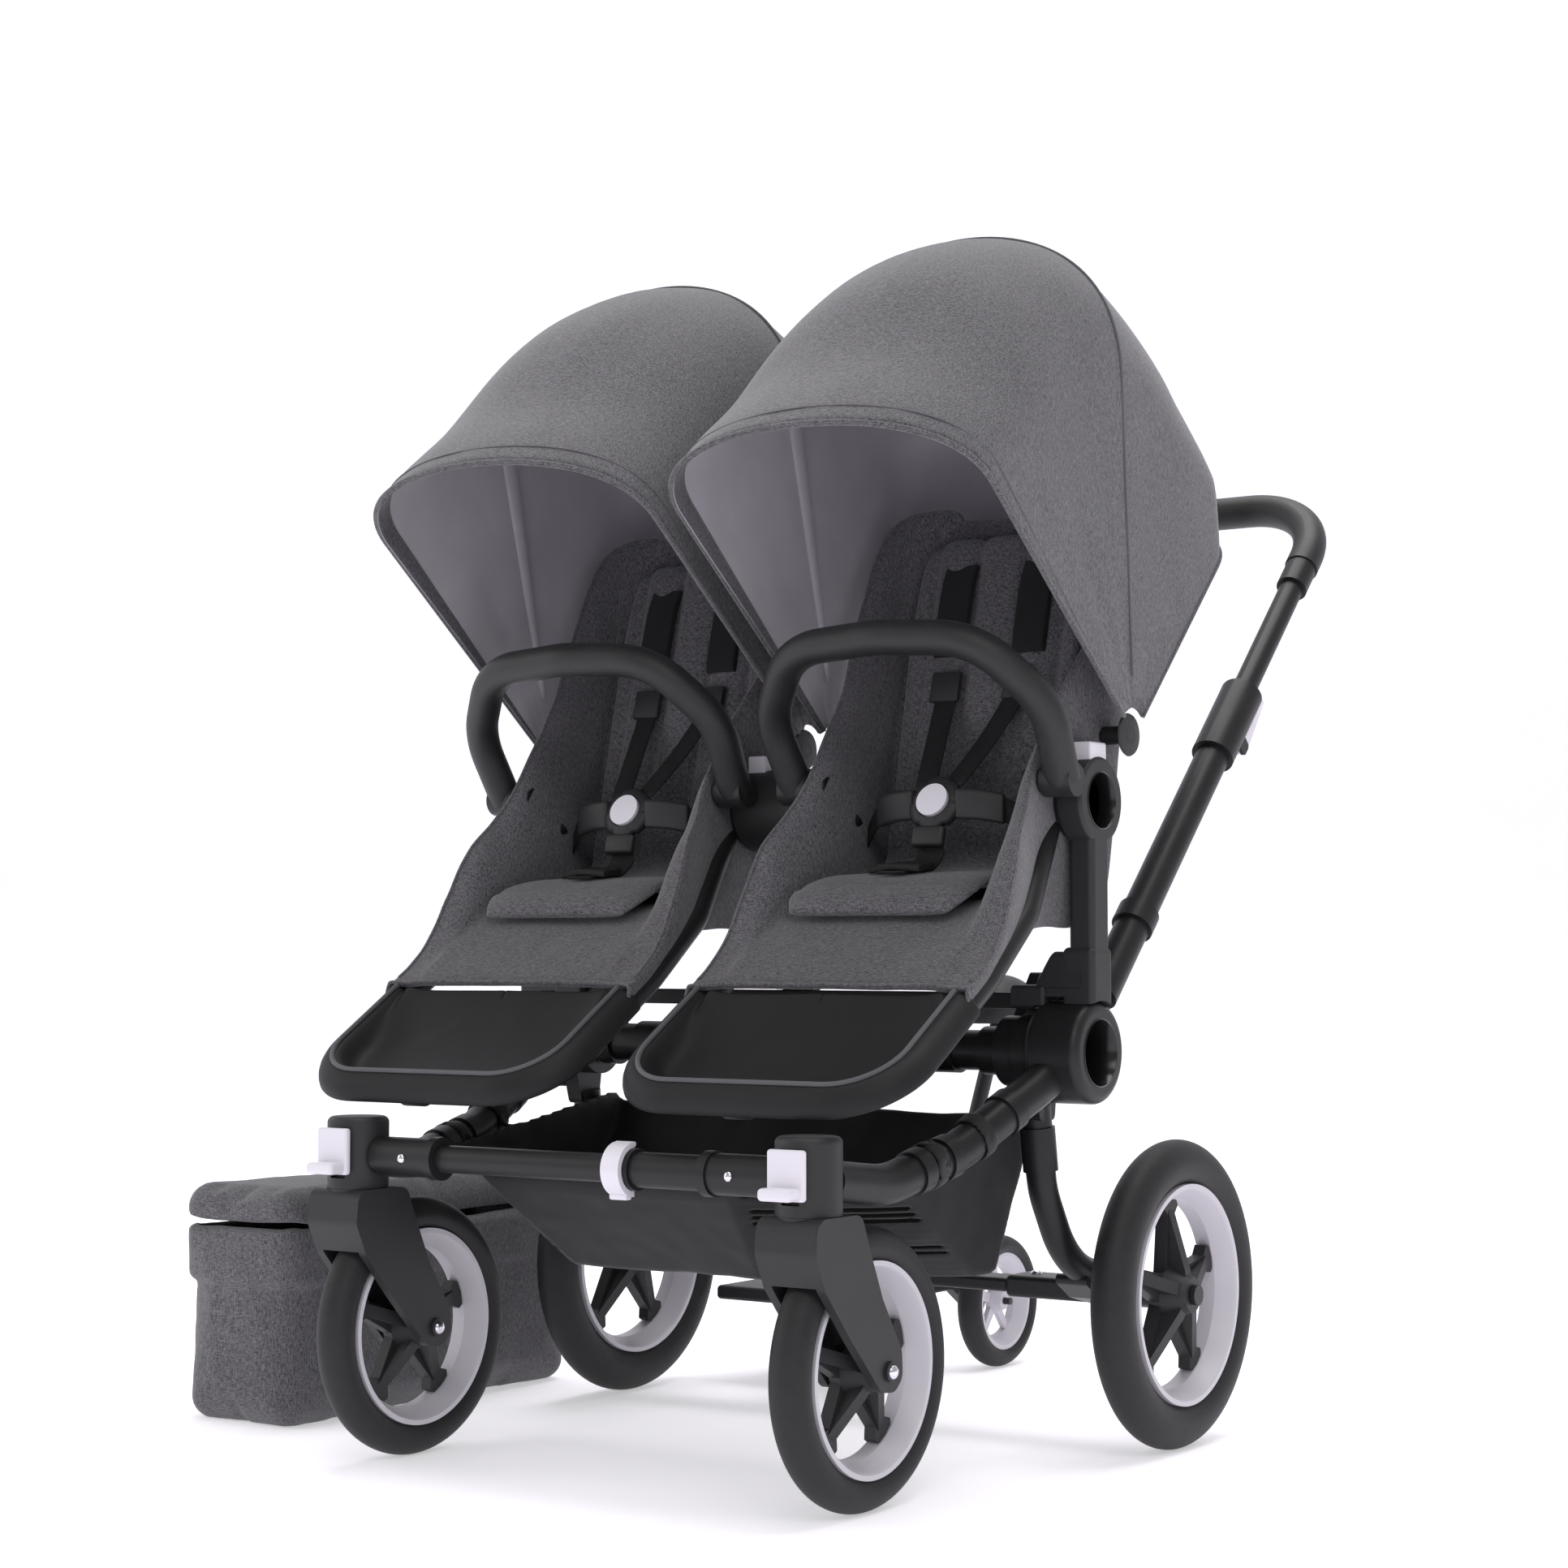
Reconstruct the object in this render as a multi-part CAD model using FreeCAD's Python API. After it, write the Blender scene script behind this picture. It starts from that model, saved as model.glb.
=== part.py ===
import FreeCAD, Part
import math
import os

# Twin side-by-side pushchair. X runs across, Y to the rear, Z up, floor at Z 0, mm.
# The design origin is the point on the floor midway between the two front axles.

# driving sizes
seat_pitch = 378.0
front_track = 524.0
rear_track = 682.0
wheel_base = 451.0
front_radius = 125.0
front_width = 38.0
front_seat_radius = 95.5
rear_radius = 152.0
rear_width = 42.0
rear_seat_radius = 109.0
castor_trail = 79.0
hub_y, hub_z, hub_radius = 285.0, 395.0, 49.0
hub_inner_x, hub_outer_x = 291.0, 350.0
hub_bore, hub_bore_depth = 33.0, 36.0
ring_y, ring_z, ring_radius = 290.0, 635.0, 42.0
ring_bore, ring_bore_depth = 28.0, 19.0
ring_near, ring_far = 133.0, 161.0
handle_angle = 44.6
handle_half = 320.0
handle_start = 74.0
handle_bend = 100.0
lever_half = 11.0
lever_pin = 1.8
handle_reach = 786.0
sleeve_length = 452.0
handle_tube_radius = 13.0
canopy_half = 174.0
basket_half = 255.0
basket_low = 186.0
basket_lip_y, basket_lip_z = -44.0, 284.0
basket_foot_y = 65.0
seat_half = 131.0
lap_half = 150.0
cross_radius = 19.5
side_radius = 18.5
wall = 3.0
fork_wall = 9.0

# named clearances
fit = 0.3
wheel_gap = 4.0
swing_gap = 6.0

# places that follow from the sizes above
steer_x = front_track / 2.0
steer_y = -castor_trail
rear_x = rear_track / 2.0
seat_x = seat_pitch / 2.0
fork_top = 2.0 * front_radius + 15.0
housing_top = fork_top + 68.0
housing_radius = 29.5
lock_reach = 26.0
crossbar_z = fork_top + 31.0
clamp_x = 63.0
canopy_y, canopy_z = 332.0, 700.0
bar_y, bar_z = 232.0, 652.0
lever_pivot, lever_off = sleeve_length - 58.0, 27.8
pad_foot_z = 560.0
recline = 0.27


def point(x, y, z):
    return FreeCAD.Vector(x, y, z)


def rounded_wire(points, radius):
    """A closed outline whose corners are arcs, each as large as its two sides allow."""
    count = len(points)
    edges = []
    ends = []
    for i in range(count):
        before, here, after = points[i - 1], points[i], points[(i + 1) % count]
        back = before - here
        ahead = after - here
        angle = back.getAngle(ahead)
        reach = min(radius / math.tan(angle / 2.0), 0.45 * back.Length, 0.45 * ahead.Length)
        size = reach * math.tan(angle / 2.0)
        back.normalize()
        ahead.normalize()
        first = here + back * reach
        last = here + ahead * reach
        middle_way = back + ahead
        middle_way.normalize()
        centre = here + middle_way * (size / math.sin(angle / 2.0))
        middle = centre - middle_way * size
        ends.append((first, middle, last))
    for i in range(count):
        first, middle, last = ends[i]
        edges.append(Part.Arc(first, middle, last).toShape())
        edges.append(Part.makeLine(last, ends[(i + 1) % count][0]))
    return Part.Wire(edges)


def prism(outline, low, high, radius=4.0):
    """A plate across X: outline is a list of (y, z), low and high are its two X faces."""
    wire = rounded_wire([point(low, y, z) for y, z in outline], radius)
    return Part.Face(wire).extrude(point(high - low, 0, 0))


def plate(outline, low, high, radius=4.0):
    """A level plate: outline is a list of (x, y), low and high are its two Z faces."""
    wire = rounded_wire([point(x, y, low) for x, y in outline], radius)
    return Part.Face(wire).extrude(point(0, 0, high - low))


def block(x, y, z, radius=0.0):
    """A box from three (low, high) pairs, with all its edges rounded."""
    body = Part.makeBox(x[1] - x[0], y[1] - y[0], z[1] - z[0], point(x[0], y[0], z[0]))
    if radius:
        body = body.makeFillet(radius, body.Edges)
    return body


def rod(start, end, radius):
    return Part.makeCylinder(radius, (end - start).Length, start, end - start)


def across(low, high, y, z, radius):
    return rod(point(low, y, z), point(high, y, z), radius)


def turned(profile, x, y, z):
    """A solid of revolution about an axis along X: profile is a list of (offset, radius)."""
    corners = [point(offset, radius, 0) for offset, radius in profile]
    face = Part.Face(Part.makePolygon(corners + corners[:1]))
    body = face.revolve(point(0, 0, 0), point(1, 0, 0), 360)
    body.translate(point(x, y, z))
    return body


def path_wire(points, bend):
    """An open path of straight runs joined by tangent arcs."""
    edges = []
    start = points[0]
    for i in range(1, len(points) - 1):
        here = points[i]
        back = points[i - 1] - here
        ahead = points[i + 1] - here
        angle = back.getAngle(ahead)
        reach = min(bend / math.tan(angle / 2.0), 0.47 * back.Length, 0.47 * ahead.Length)
        size = reach * math.tan(angle / 2.0)
        back.normalize()
        ahead.normalize()
        middle_way = back + ahead
        middle_way.normalize()
        centre = here + middle_way * (size / math.sin(angle / 2.0))
        first = here + back * reach
        last = here + ahead * reach
        edges.append(Part.makeLine(start, first))
        edges.append(Part.Arc(first, centre - middle_way * size, last).toShape())
        start = last
    edges.append(Part.makeLine(start, points[-1]))
    return Part.Wire(edges)


def tube(points, radius, bend=40.0):
    """A round bar swept along a bent path."""
    path = path_wire(points, bend)
    start = Part.Circle(points[0], points[1] - points[0], radius)
    ring = Part.Wire([start.toShape()])
    return path.makePipeShell([ring], True, True)


def strap(points, wide, thick):
    """A flat strap through the points, wide and thick being its two cross vectors."""
    sections = []
    for p in points:
        corners = [p - wide, p + wide, p + wide + thick, p - wide + thick]
        sections.append(Part.makePolygon(corners + corners[:1]))
    return Part.makeLoft(sections, True, True)


def joined(bodies):
    whole = bodies[0]
    for body in bodies[1:]:
        whole = whole.fuse(body)
    return whole.removeSplitter()


def mirrored(body):
    return body.mirror(point(0, 0, 0), point(1, 0, 0))


def pair(body, name):
    """The same piece for the right-hand side and, mirrored, for the left."""
    return {name + "_right": body, name + "_left": mirrored(body)}


# wheels


def tyre(radius, seat, width, x, y):
    inner = seat - 5.0
    middle = (radius + inner) / 2.0
    half = (radius - inner) / 2.0
    ends = [point(width / 2.0, middle, 0), point(0, middle + half, 0)]
    if width / 2.0 < half:
        ends.reverse()
    section = Part.Ellipse(ends[0], ends[1], point(0, middle, 0))
    face = Part.Face(Part.Wire([section.toShape()]))
    ring = face.revolve(point(0, 0, 0), point(1, 0, 0), 360)
    ring = ring.cut(across(-width, width, 0, 0, seat))
    ring.translate(point(x, y, radius))
    return ring


def rim(seat, x, y, z, half):
    outer = seat - fit
    deep = seat - 15.5
    lip = seat - 5.0
    profile = [(-half, deep), (-half, outer), (half, outer), (half, lip), (half - 2.0, lip - 1.5),
               (-2.0, deep)]
    return turned(profile, x, y, z)


def star(seat, x, y, z, half, bore, face):
    """Five spokes with feet on the rim, a raised boss, and the axle bore."""
    foot = seat - 15.5 - fit
    hub = turned([(-half + 1.0, 0), (-half + 1.0, 25.0), (-3.0, 27.0), (face, 17.0), (face, 0)], 0, 0, 0)
    bodies = [hub]
    outline = [(12.0, -15.0), (foot - 16.0, -7.5), (foot - 7.0, -15.0), (foot - 1.6, -12.0),
               (foot, 0.0), (foot - 1.6, 12.0), (foot - 7.0, 15.0), (foot - 16.0, 7.5), (12.0, 15.0)]
    for i in range(5):
        arm = prism(outline, -half + 2.0, -3.0, 2.0)
        ridge = Part.Face(Part.makePolygon([
            point(-4.0, 8.0, -6.0), point(face - 4.0, 8.0, -6.0), point(face - 6.0, 24.0, -6.0),
            point(-3.5, foot - 9.0, -6.0), point(-4.0, 8.0, -6.0)])).extrude(point(0, 0, 12.0))
        arm = arm.fuse(ridge)
        arm.rotate(point(0, 0, 0), point(1, 0, 0), 90.0 + 72.0 * i)
        bodies.append(arm)
    whole = joined(bodies).cut(across(-half - 5.0, face + 5.0, 0, 0, bore))
    whole.translate(point(x, y, z))
    return whole


def front_wheels():
    found = {}
    for name, x in (("right", steer_x), ("left", -steer_x)):
        found["front_tyre_" + name] = tyre(front_radius, front_seat_radius, front_width, x, 0.0)
        found["front_rim_" + name] = rim(front_seat_radius, x, 0.0, front_radius, 17.0)
        found["front_star_" + name] = star(front_seat_radius, x, 0.0, front_radius, 17.0, 5.0 + fit, 20.0)
    return found


def rear_wheels():
    found = {}
    for name, x in (("right", rear_x), ("left", -rear_x)):
        found["rear_tyre_" + name] = tyre(rear_radius, rear_seat_radius, rear_width, x, wheel_base)
        found["rear_rim_" + name] = rim(rear_seat_radius, x, wheel_base, rear_radius, 18.0)
        found["rear_star_" + name] = star(rear_seat_radius, x, wheel_base, rear_radius, 18.0,
                                          6.0 + fit, 21.0)
    return found


# front end


def fork():
    """One-piece fork: crown, two legs swept back to the axle, stem and axle pin."""
    half = front_width / 2.0 + wheel_gap + fork_wall
    y, z = steer_y, front_radius
    outline = [(y - 33, fork_top - fit), (y + 35, fork_top - fit), (y + 46, z + 112), (y + 68, z + 64),
               (20, z + 16), (21, z - 8), (8, z - 19), (-13, z - 17), (y + 17, z + 34), (y - 22, z + 78),
               (y - 36, z + 108)]
    legs = prism(outline, -half, half, 14.0)
    room = across(-front_width / 2.0 - wheel_gap, front_width / 2.0 + wheel_gap, 0, z, front_radius + 5.0)
    legs = legs.cut(room)
    pin = across(-half - 3.0, half + 3.0, 0, z, 5.0)
    heads = [across(side * half, side * (half + 3.0), 0, z, 9.0) for side in (-1, 1)]
    stem = rod(point(0, y, fork_top - 4.0), point(0, y, fork_top + 34.0), 14.0)
    collar = rod(point(0, y, fork_top - 22.0), point(0, y, fork_top - fit), housing_radius - 0.5)
    collar = collar.cut(room)
    whole = joined([legs, pin, collar, stem] + heads)
    whole.translate(point(steer_x, 0, 0))
    return whole


def castor_housing():
    """Steering head: a capped barrel with a blind socket for the fork stem."""
    body = rod(point(steer_x, steer_y, fork_top), point(steer_x, steer_y, housing_top), housing_radius)
    body = body.makeFillet(6.0, [body.Edges[0]])
    socket = rod(point(steer_x, steer_y, fork_top - 1), point(steer_x, steer_y, fork_top + 35.0), 14.0 + fit)
    guide = block((steer_x - 9.0, steer_x + 9.0),
                  (steer_y - housing_radius - 3.0, steer_y - housing_radius + 7.0),
                  (fork_top + 10.0, fork_top + 58.0))
    return body.cut(socket).cut(guide)


def swivel_lock():
    """White lock: a plate in the head's front slot with a finger tab pointing forward."""
    front = steer_y - housing_radius
    plate_body = block((steer_x - 19.0, steer_x + 19.0), (front - 8.0, front - fit),
                       (fork_top + 14.0, fork_top + 58.0), 3.0)
    stem = block((steer_x - 9.0 + fit, steer_x + 9.0 - fit), (front - 4.0, front + 6.0),
                 (fork_top + 20.0, fork_top + 56.0))
    tab = block((steer_x - 17.0, steer_x + 17.0), (front - lock_reach, front - 4.0),
                (fork_top + 15.0, fork_top + 26.0), 4.0)
    return joined([plate_body, stem, tab])


def front_crossbar():
    """Two telescoped bars between the steering heads, a clamp collar and end elbows."""
    near = steer_x - housing_radius - fit
    thick = across(clamp_x - 7.0, near, steer_y, crossbar_z, 16.0)
    slim = across(-near, clamp_x - 6.0, steer_y, crossbar_z, 13.0)
    clamp = across(clamp_x - 15.0, clamp_x + 15.0, steer_y, crossbar_z, 19.0)
    sleeves = []
    for side in (-1, 1):
        sleeves.append(across(side * (near - 70.0), side * near, steer_y, crossbar_z, 18.5))
        sleeves.append(across(side * (near - 78.0), side * (near - 68.0), steer_y, crossbar_z, 20.5))
    return joined([thick, slim, clamp] + sleeves)


def crossbar_lever():
    """White cam lever that wraps the clamp's front, hinged above it."""
    outer, inner = 24.5, 19.0 + fit
    low, high = clamp_x - 10.0, clamp_x + 10.0
    body = across(low, high, steer_y, crossbar_z, outer)
    body = body.cut(across(low - 7.0, high + 7.0, steer_y, crossbar_z, inner))
    body = body.cut(block((low - 7.0, high + 7.0), (steer_y, steer_y + 40.0),
                          (crossbar_z - 60.0, crossbar_z + 60.0)))
    barrel = across(low, high, steer_y, crossbar_z + outer - 2.0, 2.4)
    tip = block((low, high), (steer_y - 12.0, steer_y - 3.0), (crossbar_z - 27.0, crossbar_z - 21.0), 2.0)
    return joined([body, barrel, tip])


# side frame


def side_path():
    return [point(steer_x + 8.0, steer_y + 18.0, 293.0), point(steer_x + 14.0, 20.0, 284.0),
            point(steer_x + 26.0, 122.0, 308.0), point(steer_x + 46.0, 225.0, 359.0),
            point(steer_x + 54.0, hub_y - 5.0, hub_z - 8.0)]


def hub_barrel():
    length = hub_outer_x - hub_inner_x
    body = Part.makeCylinder(hub_radius, length, point(hub_inner_x, hub_y, hub_z), point(1, 0, 0))
    body = body.makeFillet(9.0, [e for e in body.Edges if e.Length > hub_radius * 6.0])
    return body


def side_frame():
    """Side tube with its collars, ending in the lower hub barrel."""
    run = side_path()
    bar = tube(run, side_radius, 120.0)
    bodies = [bar, hub_barrel()]
    for here, ahead, along in ((run[1], run[2], 0.35), (run[1], run[2], 0.75), (run[2], run[3], 0.6)):
        way = ahead - here
        start = here + way * along
        way.normalize()
        bodies.append(rod(start, start + way * 16.0, side_radius + 2.2))
    head = rod(point(steer_x, steer_y, fork_top), point(steer_x, steer_y, housing_top), housing_radius + fit)
    recess = across(hub_outer_x - hub_bore_depth, hub_outer_x + 1.0, hub_y, hub_z, hub_bore)
    sleeve = across(0, steer_x - housing_radius, steer_y, crossbar_z, 20.5 + fit)
    return joined(bodies).cut(head).cut(recess).cut(sleeve)


def ring_button_slot(middle, grow):
    half = 11.0 + grow
    return block((middle - half, middle + half), (ring_y - 16.0 - grow, ring_y + 16.0 + grow),
                 (ring_z + 32.0 - 3.5 * bool(grow), ring_z + ring_radius + 14.0), 0.0 if grow else 2.5)


def upright():
    """Post from the lower hub to the seat socket ring, with the rail bracket."""
    low, high = seat_x + ring_near, seat_x + ring_far
    post = block((high - 27.0, high), (ring_y - 19.0, ring_y + 15.0), (hub_z + 30.0, ring_z), 6.0)
    sleeve = block((high - 33.0, high + 1.5), (ring_y - 22.0, ring_y + 18.0), (hub_z + 30.0, hub_z + 100.0), 6.0)
    ring = across(low, high, ring_y, ring_z, ring_radius)
    ring = ring.makeFillet(4.0, [e for e in ring.Edges if e.Length > ring_radius * 6.0])
    arm = prism([(ring_y - 20, hub_z + 96), (ring_y - 4, hub_z + 96), (ring_y + 4, hub_z + 52),
                 (ring_y + 4, hub_z + 36), (ring_y - 24, hub_z + 36), (ring_y - 24, hub_z + 60)],
                290.0, high - 10.0, 8.0)
    shoulder = Part.Face(Part.makePolygon([
        point(290.0, 0, hub_z + 62.0), point(high - 12.0, 0, hub_z + 62.0), point(high - 12.0, 0, hub_z + 120.0),
        point(320.0, 0, hub_z + 120.0), point(298.0, 0, hub_z + 80.0), point(290.0, 0, hub_z + 62.0)]))
    shoulder = shoulder.extrude(point(0, 60.0, 0))
    shoulder.translate(point(0, ring_y - 40.0, 0))
    foot = block((262.0, 300.0), (ring_y - 26.0, ring_y + 6.0), (hub_z + 34.0, hub_z + 64.0), 4.0)
    arm = arm.common(shoulder).fuse(foot)
    whole = joined([post, sleeve, ring, arm, block((290.0, 325.0), (ring_y - 22.0, ring_y + 2.0),
                                                  (hub_z + 52.0, hub_z + 64.0), 3.0)])
    barrel = across(hub_inner_x - 60.0, hub_outer_x + 9.0, hub_y, hub_z, hub_radius + fit)
    recess = across(high - ring_bore_depth, high + 5.0, ring_y, ring_z, ring_bore)
    rail = block((0, 285.0), (ring_y - 18.0 - fit, ring_y - 2.0 + fit), (hub_z + 41.0, hub_z + 57.0))
    slot = ring_button_slot((low + high) / 2.0, 0.4)
    ear = across(250.0, hub_inner_x, hub_y, hub_z, 37.0)
    return whole.cut(barrel).cut(recess).cut(rail).cut(slot).cut(ear)


def centre_post():
    """Middle post on the cross tube with the two inner seat sockets."""
    inner, outer = seat_x - ring_far, seat_x - ring_near
    post = block((-19.0, 19.0), (ring_y - 17.0, ring_y + 15.0), (hub_z, ring_z), 6.0)
    foot = across(-30.0, 30.0, hub_y, hub_z, cross_radius + 9.0)
    barrel = across(-outer, outer, ring_y, ring_z, ring_radius)
    barrel = barrel.makeFillet(4.0, [e for e in barrel.Edges if e.Length > ring_radius * 6.0])
    whole = joined([post, foot, barrel])
    whole = whole.cut(across(-40.0, 40.0, hub_y, hub_z, cross_radius + fit))
    for side in (-1, 1):
        whole = whole.cut(ring_button_slot(side * (inner + outer) / 2.0, 0.4))
    rail = block((-60.0, 60.0), (ring_y - 18.0 - fit, ring_y - 2.0 + fit), (hub_z + 41.0 - fit, hub_z + 57.0 + fit))
    return whole.cut(rail)


def ring_buttons():
    outer = seat_x + (ring_near + ring_far) / 2.0
    inner = seat_x - (ring_near + ring_far) / 2.0
    found = pair(ring_button_slot(outer, 0.0), "outer_button")
    found.update(pair(ring_button_slot(inner, 0.0), "inner_button"))
    return found


def cross_tube():
    """Round tube through both fold ears, with collars, between the lower hubs."""
    end = hub_inner_x - fit
    bodies = [across(-end, end, hub_y, hub_z, cross_radius)]
    for side in (-1, 1):
        bodies.append(across(side * 150.0, side * 195.0, hub_y, hub_z, cross_radius + 3.0))
        bodies.append(across(side * 225.0, side * 244.0, hub_y, hub_z, cross_radius + 4.0))
    return joined(bodies)


def carrier_rail():
    """Slim rectangular rail above the cross tube."""
    return block((-284.5, 284.5), (ring_y - 18.0, ring_y - 2.0), (hub_z + 41.0 + fit, hub_z + 57.0 - fit), 2.0)


# rear end


def rear_leg():
    """Fold ear on the cross tube, swept leg, axle bracket plate and wheel stub."""
    ear = across(270.5, 288.5, hub_y, hub_z, 36.0)
    neck = prism([(hub_y - 24.0, hub_z - 10.0), (hub_y + 28.0, hub_z - 10.0), (hub_y + 20.0, hub_z - 66.0),
                  (hub_y - 8.0, hub_z - 66.0)], 270.5, 288.5, 6.0)
    run = [point(275.5, hub_y + 6.0, hub_z - 52.0), point(277.0, 300.0, 262.0), point(283.0, 334.0, 190.0),
           point(288.0, wheel_base, rear_radius)]
    leg = tube(run, 14.5, 90.0)
    knee = rod(point(276.0, 293.0, 322.0), point(276.8, 298.0, 280.0), 17.0)
    bracket = prism([(334.0, 178.0), (390.0, 172.0), (474.0, 164.0), (479.0, 150.0), (470.0, 140.0),
                     (430.0, 138.0), (380.0, 150.0)], 262.0, 296.0, 8.0)
    plate_body = block((160.0, 290.0), (428.0, 478.0), (139.0, 161.0), 5.0)
    stub = across(285.0, rear_x - rear_width / 2.0 - 2.0, wheel_base, rear_radius, 16.0)
    pin = across(285.0, rear_x + 26.0, wheel_base, rear_radius, 6.0)
    head = across(rear_x + 22.0, rear_x + 27.0, wheel_base, rear_radius, 10.0)
    bore = across(260.0, 300.0, hub_y, hub_z, cross_radius + fit)
    return joined([ear, neck, leg, knee, bracket, plate_body, stub, pin, head]).cut(bore)


def axle_bar():
    """Flat bar between the two axle brackets."""
    return block((-160.0 + fit, 160.0 - fit), (432.0, 474.0), (143.0, 157.0), 4.0)


# handlebar


def handle_point(along, x, off=0.0):
    """A point on the handle tube line, off being how far it lies behind the line."""
    a = math.radians(handle_angle)
    y0 = hub_y + handle_start * math.cos(a)
    z0 = hub_z + handle_start * math.sin(a)
    return point(x, y0 + along * math.cos(a) + off * math.sin(a), z0 + along * math.sin(a) - off * math.cos(a))


def handle_sleeve():
    """Lower handle tube with its fold ear, collars, clamp head and long bore."""
    x = handle_half
    body = rod(handle_point(0, x), handle_point(sleeve_length, x), 17.5)
    bodies = [body, rod(handle_point(96, x), handle_point(118, x), 21.0),
              rod(handle_point(sleeve_length - 100, x), handle_point(sleeve_length, x), 22.5)]
    ear = across(250.0, 269.5, hub_y, hub_z, 34.0)
    start = handle_point(0, x)
    arm = prism([(hub_y - 2.0, hub_z - 20.0), (start.y - 8.0, start.z - 26.0), (start.y + 8.0, start.z + 12.0),
                 (start.y - 10.0, start.z + 26.0), (hub_y - 2.0, hub_z + 20.0)], 250.0, 261.5, 6.0)
    link = prism([(start.y - 18.0, start.z - 17.0), (start.y - 2.0, start.z - 26.0), (start.y + 15.0, start.z + 2.0),
                  (start.y, start.z + 17.0), (start.y - 13.0, start.z + 8.0)], 252.0, x + 8.0, 4.0)
    for side in (-1, 1):
        near, far = x + side * (lever_half + fit), x + side * (lever_half + 4.0)
        corners = [handle_point(sleeve_length + along, x, off)
                   for along, off in ((-66, 12), (-50, 12), (-50, 31), (-66, 31))]
        bodies.append(prism([(p.y, p.z) for p in corners], min(near, far), max(near, far), 4.0))
    pivot = handle_point(lever_pivot, x, lever_off)
    bodies.append(across(x - lever_half - 4.0, x + lever_half + 4.0, pivot.y, pivot.z, lever_pin))
    bodies += [ear, arm, link]
    whole = joined(bodies)
    whole = whole.cut(across(240.0, 270.0, hub_y, hub_z, cross_radius + fit))
    whole = whole.cut(across(hub_inner_x - 22.0, x + 40.0, hub_y, hub_z, hub_radius + 2.0))
    return whole.cut(rod(handle_point(62, x), handle_point(sleeve_length + 1, x), handle_tube_radius + fit))


def clamp_lever():
    """White lever lying along the back of the clamp head, hinged at its lower end."""
    x = handle_half
    a = math.radians(handle_angle)
    outline = []
    for along, off in ((-57, 22.5 + fit), (-62, 24.8), (-63, 29), (-61, 33), (-40, 35), (0, 30), (18, 27),
                       (18, 22.5 + fit)):
        here = handle_point(sleeve_length + along, x, off)
        outline.append((here.y, here.z))
    body = prism(outline, x - lever_half, x + lever_half, 3.0)
    pivot = handle_point(lever_pivot, x, lever_off)
    return body.cut(across(x - 20.0, x + 20.0, pivot.y, pivot.z, lever_pin + fit))


def handle_path():
    x = handle_half
    corner = handle_point(handle_reach, x)
    low = handle_point(186, x)
    return [low, corner, point(-corner.x, corner.y, corner.z), point(-low.x, low.y, low.z)]


def handle_bar():
    """Upper handle tube: two legs and the cross part as one bent tube, with end joints."""
    path = handle_path()
    bodies = [tube(path, handle_tube_radius, handle_bend)]
    for x in (-handle_half, handle_half):
        bodies.append(rod(handle_point(handle_reach - 154, x), handle_point(handle_reach - 118, x), 17.0))
    return joined(bodies)


def handle_grip():
    """Padded sleeve over the bend and the cross part of the handle."""
    path = handle_path()
    grip = tube(path, 18.5, handle_bend).cut(tube(path, handle_tube_radius + fit, handle_bend))
    for x in (-handle_half, handle_half):
        grip = grip.cut(rod(handle_point(0, x), handle_point(handle_reach - 118 + fit, x), 30.0))
    return grip


# under-seat basket


def basket_form(inset, top):
    """Body of the basket: a sloping front, and front corners cut back clear of the swinging wheels."""
    half = basket_half - inset
    slope = [(basket_lip_y + inset, basket_lip_z + top), (basket_foot_y + inset, basket_low + inset),
             (250.0 - inset, basket_low + inset), (335.0 - inset, 345.0 + top)]
    body = prism(slope, -half, half, 14.0)
    reach = castor_trail + front_radius + swing_gap + inset
    turn = math.sqrt(0.5)
    low = point(steer_x - reach * turn, steer_y + reach * turn, basket_low)
    high = point(165.0 - inset, basket_lip_y, basket_lip_z + 16.0)
    along = point(turn, turn, 0)
    corners = [low - along * 300.0, low + along * 300.0, high + along * 300.0, high - along * 300.0]
    flat = Part.Face(Part.makePolygon(corners + corners[:1]))
    tool = flat.extrude(point(300.0, -300.0, 0))
    return body.cut(tool).cut(mirrored(tool))


def basket():
    """Open-topped fabric basket, scooped where the front wheels swing, hung on strap loops."""
    bag = basket_form(0.0, 0.0).cut(basket_form(wall, 12.0))
    run = side_path()
    loops = []
    places = ((run[1], run[2], 0.6, basket_half - 4.0), (run[2], run[3], 0.25, basket_half - 2.0))
    for here, ahead, along, edge in places:
        way = ahead - here
        middle = here + way * along
        way.normalize()
        start, end = middle - way * 9.5, middle + way * 9.5
        loop = rod(start, end, side_radius + 3.0).cut(rod(start - way, end + way, side_radius + fit))
        tab = block((edge, middle.x - side_radius), (middle.y - 4.0, middle.y + 4.0),
                    (middle.z - 11.0, middle.z - 8.0))
        tab = tab.cut(rod(start - way * 20.0, end + way * 20.0, side_radius + 1.0))
        loops += [loop, tab, mirrored(loop), mirrored(tab)]
    return joined([bag] + loops)


# seats, built about their own middle plane X 0


def back_front(z):
    return 325.0 + recline * (z - pad_foot_z)


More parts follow.
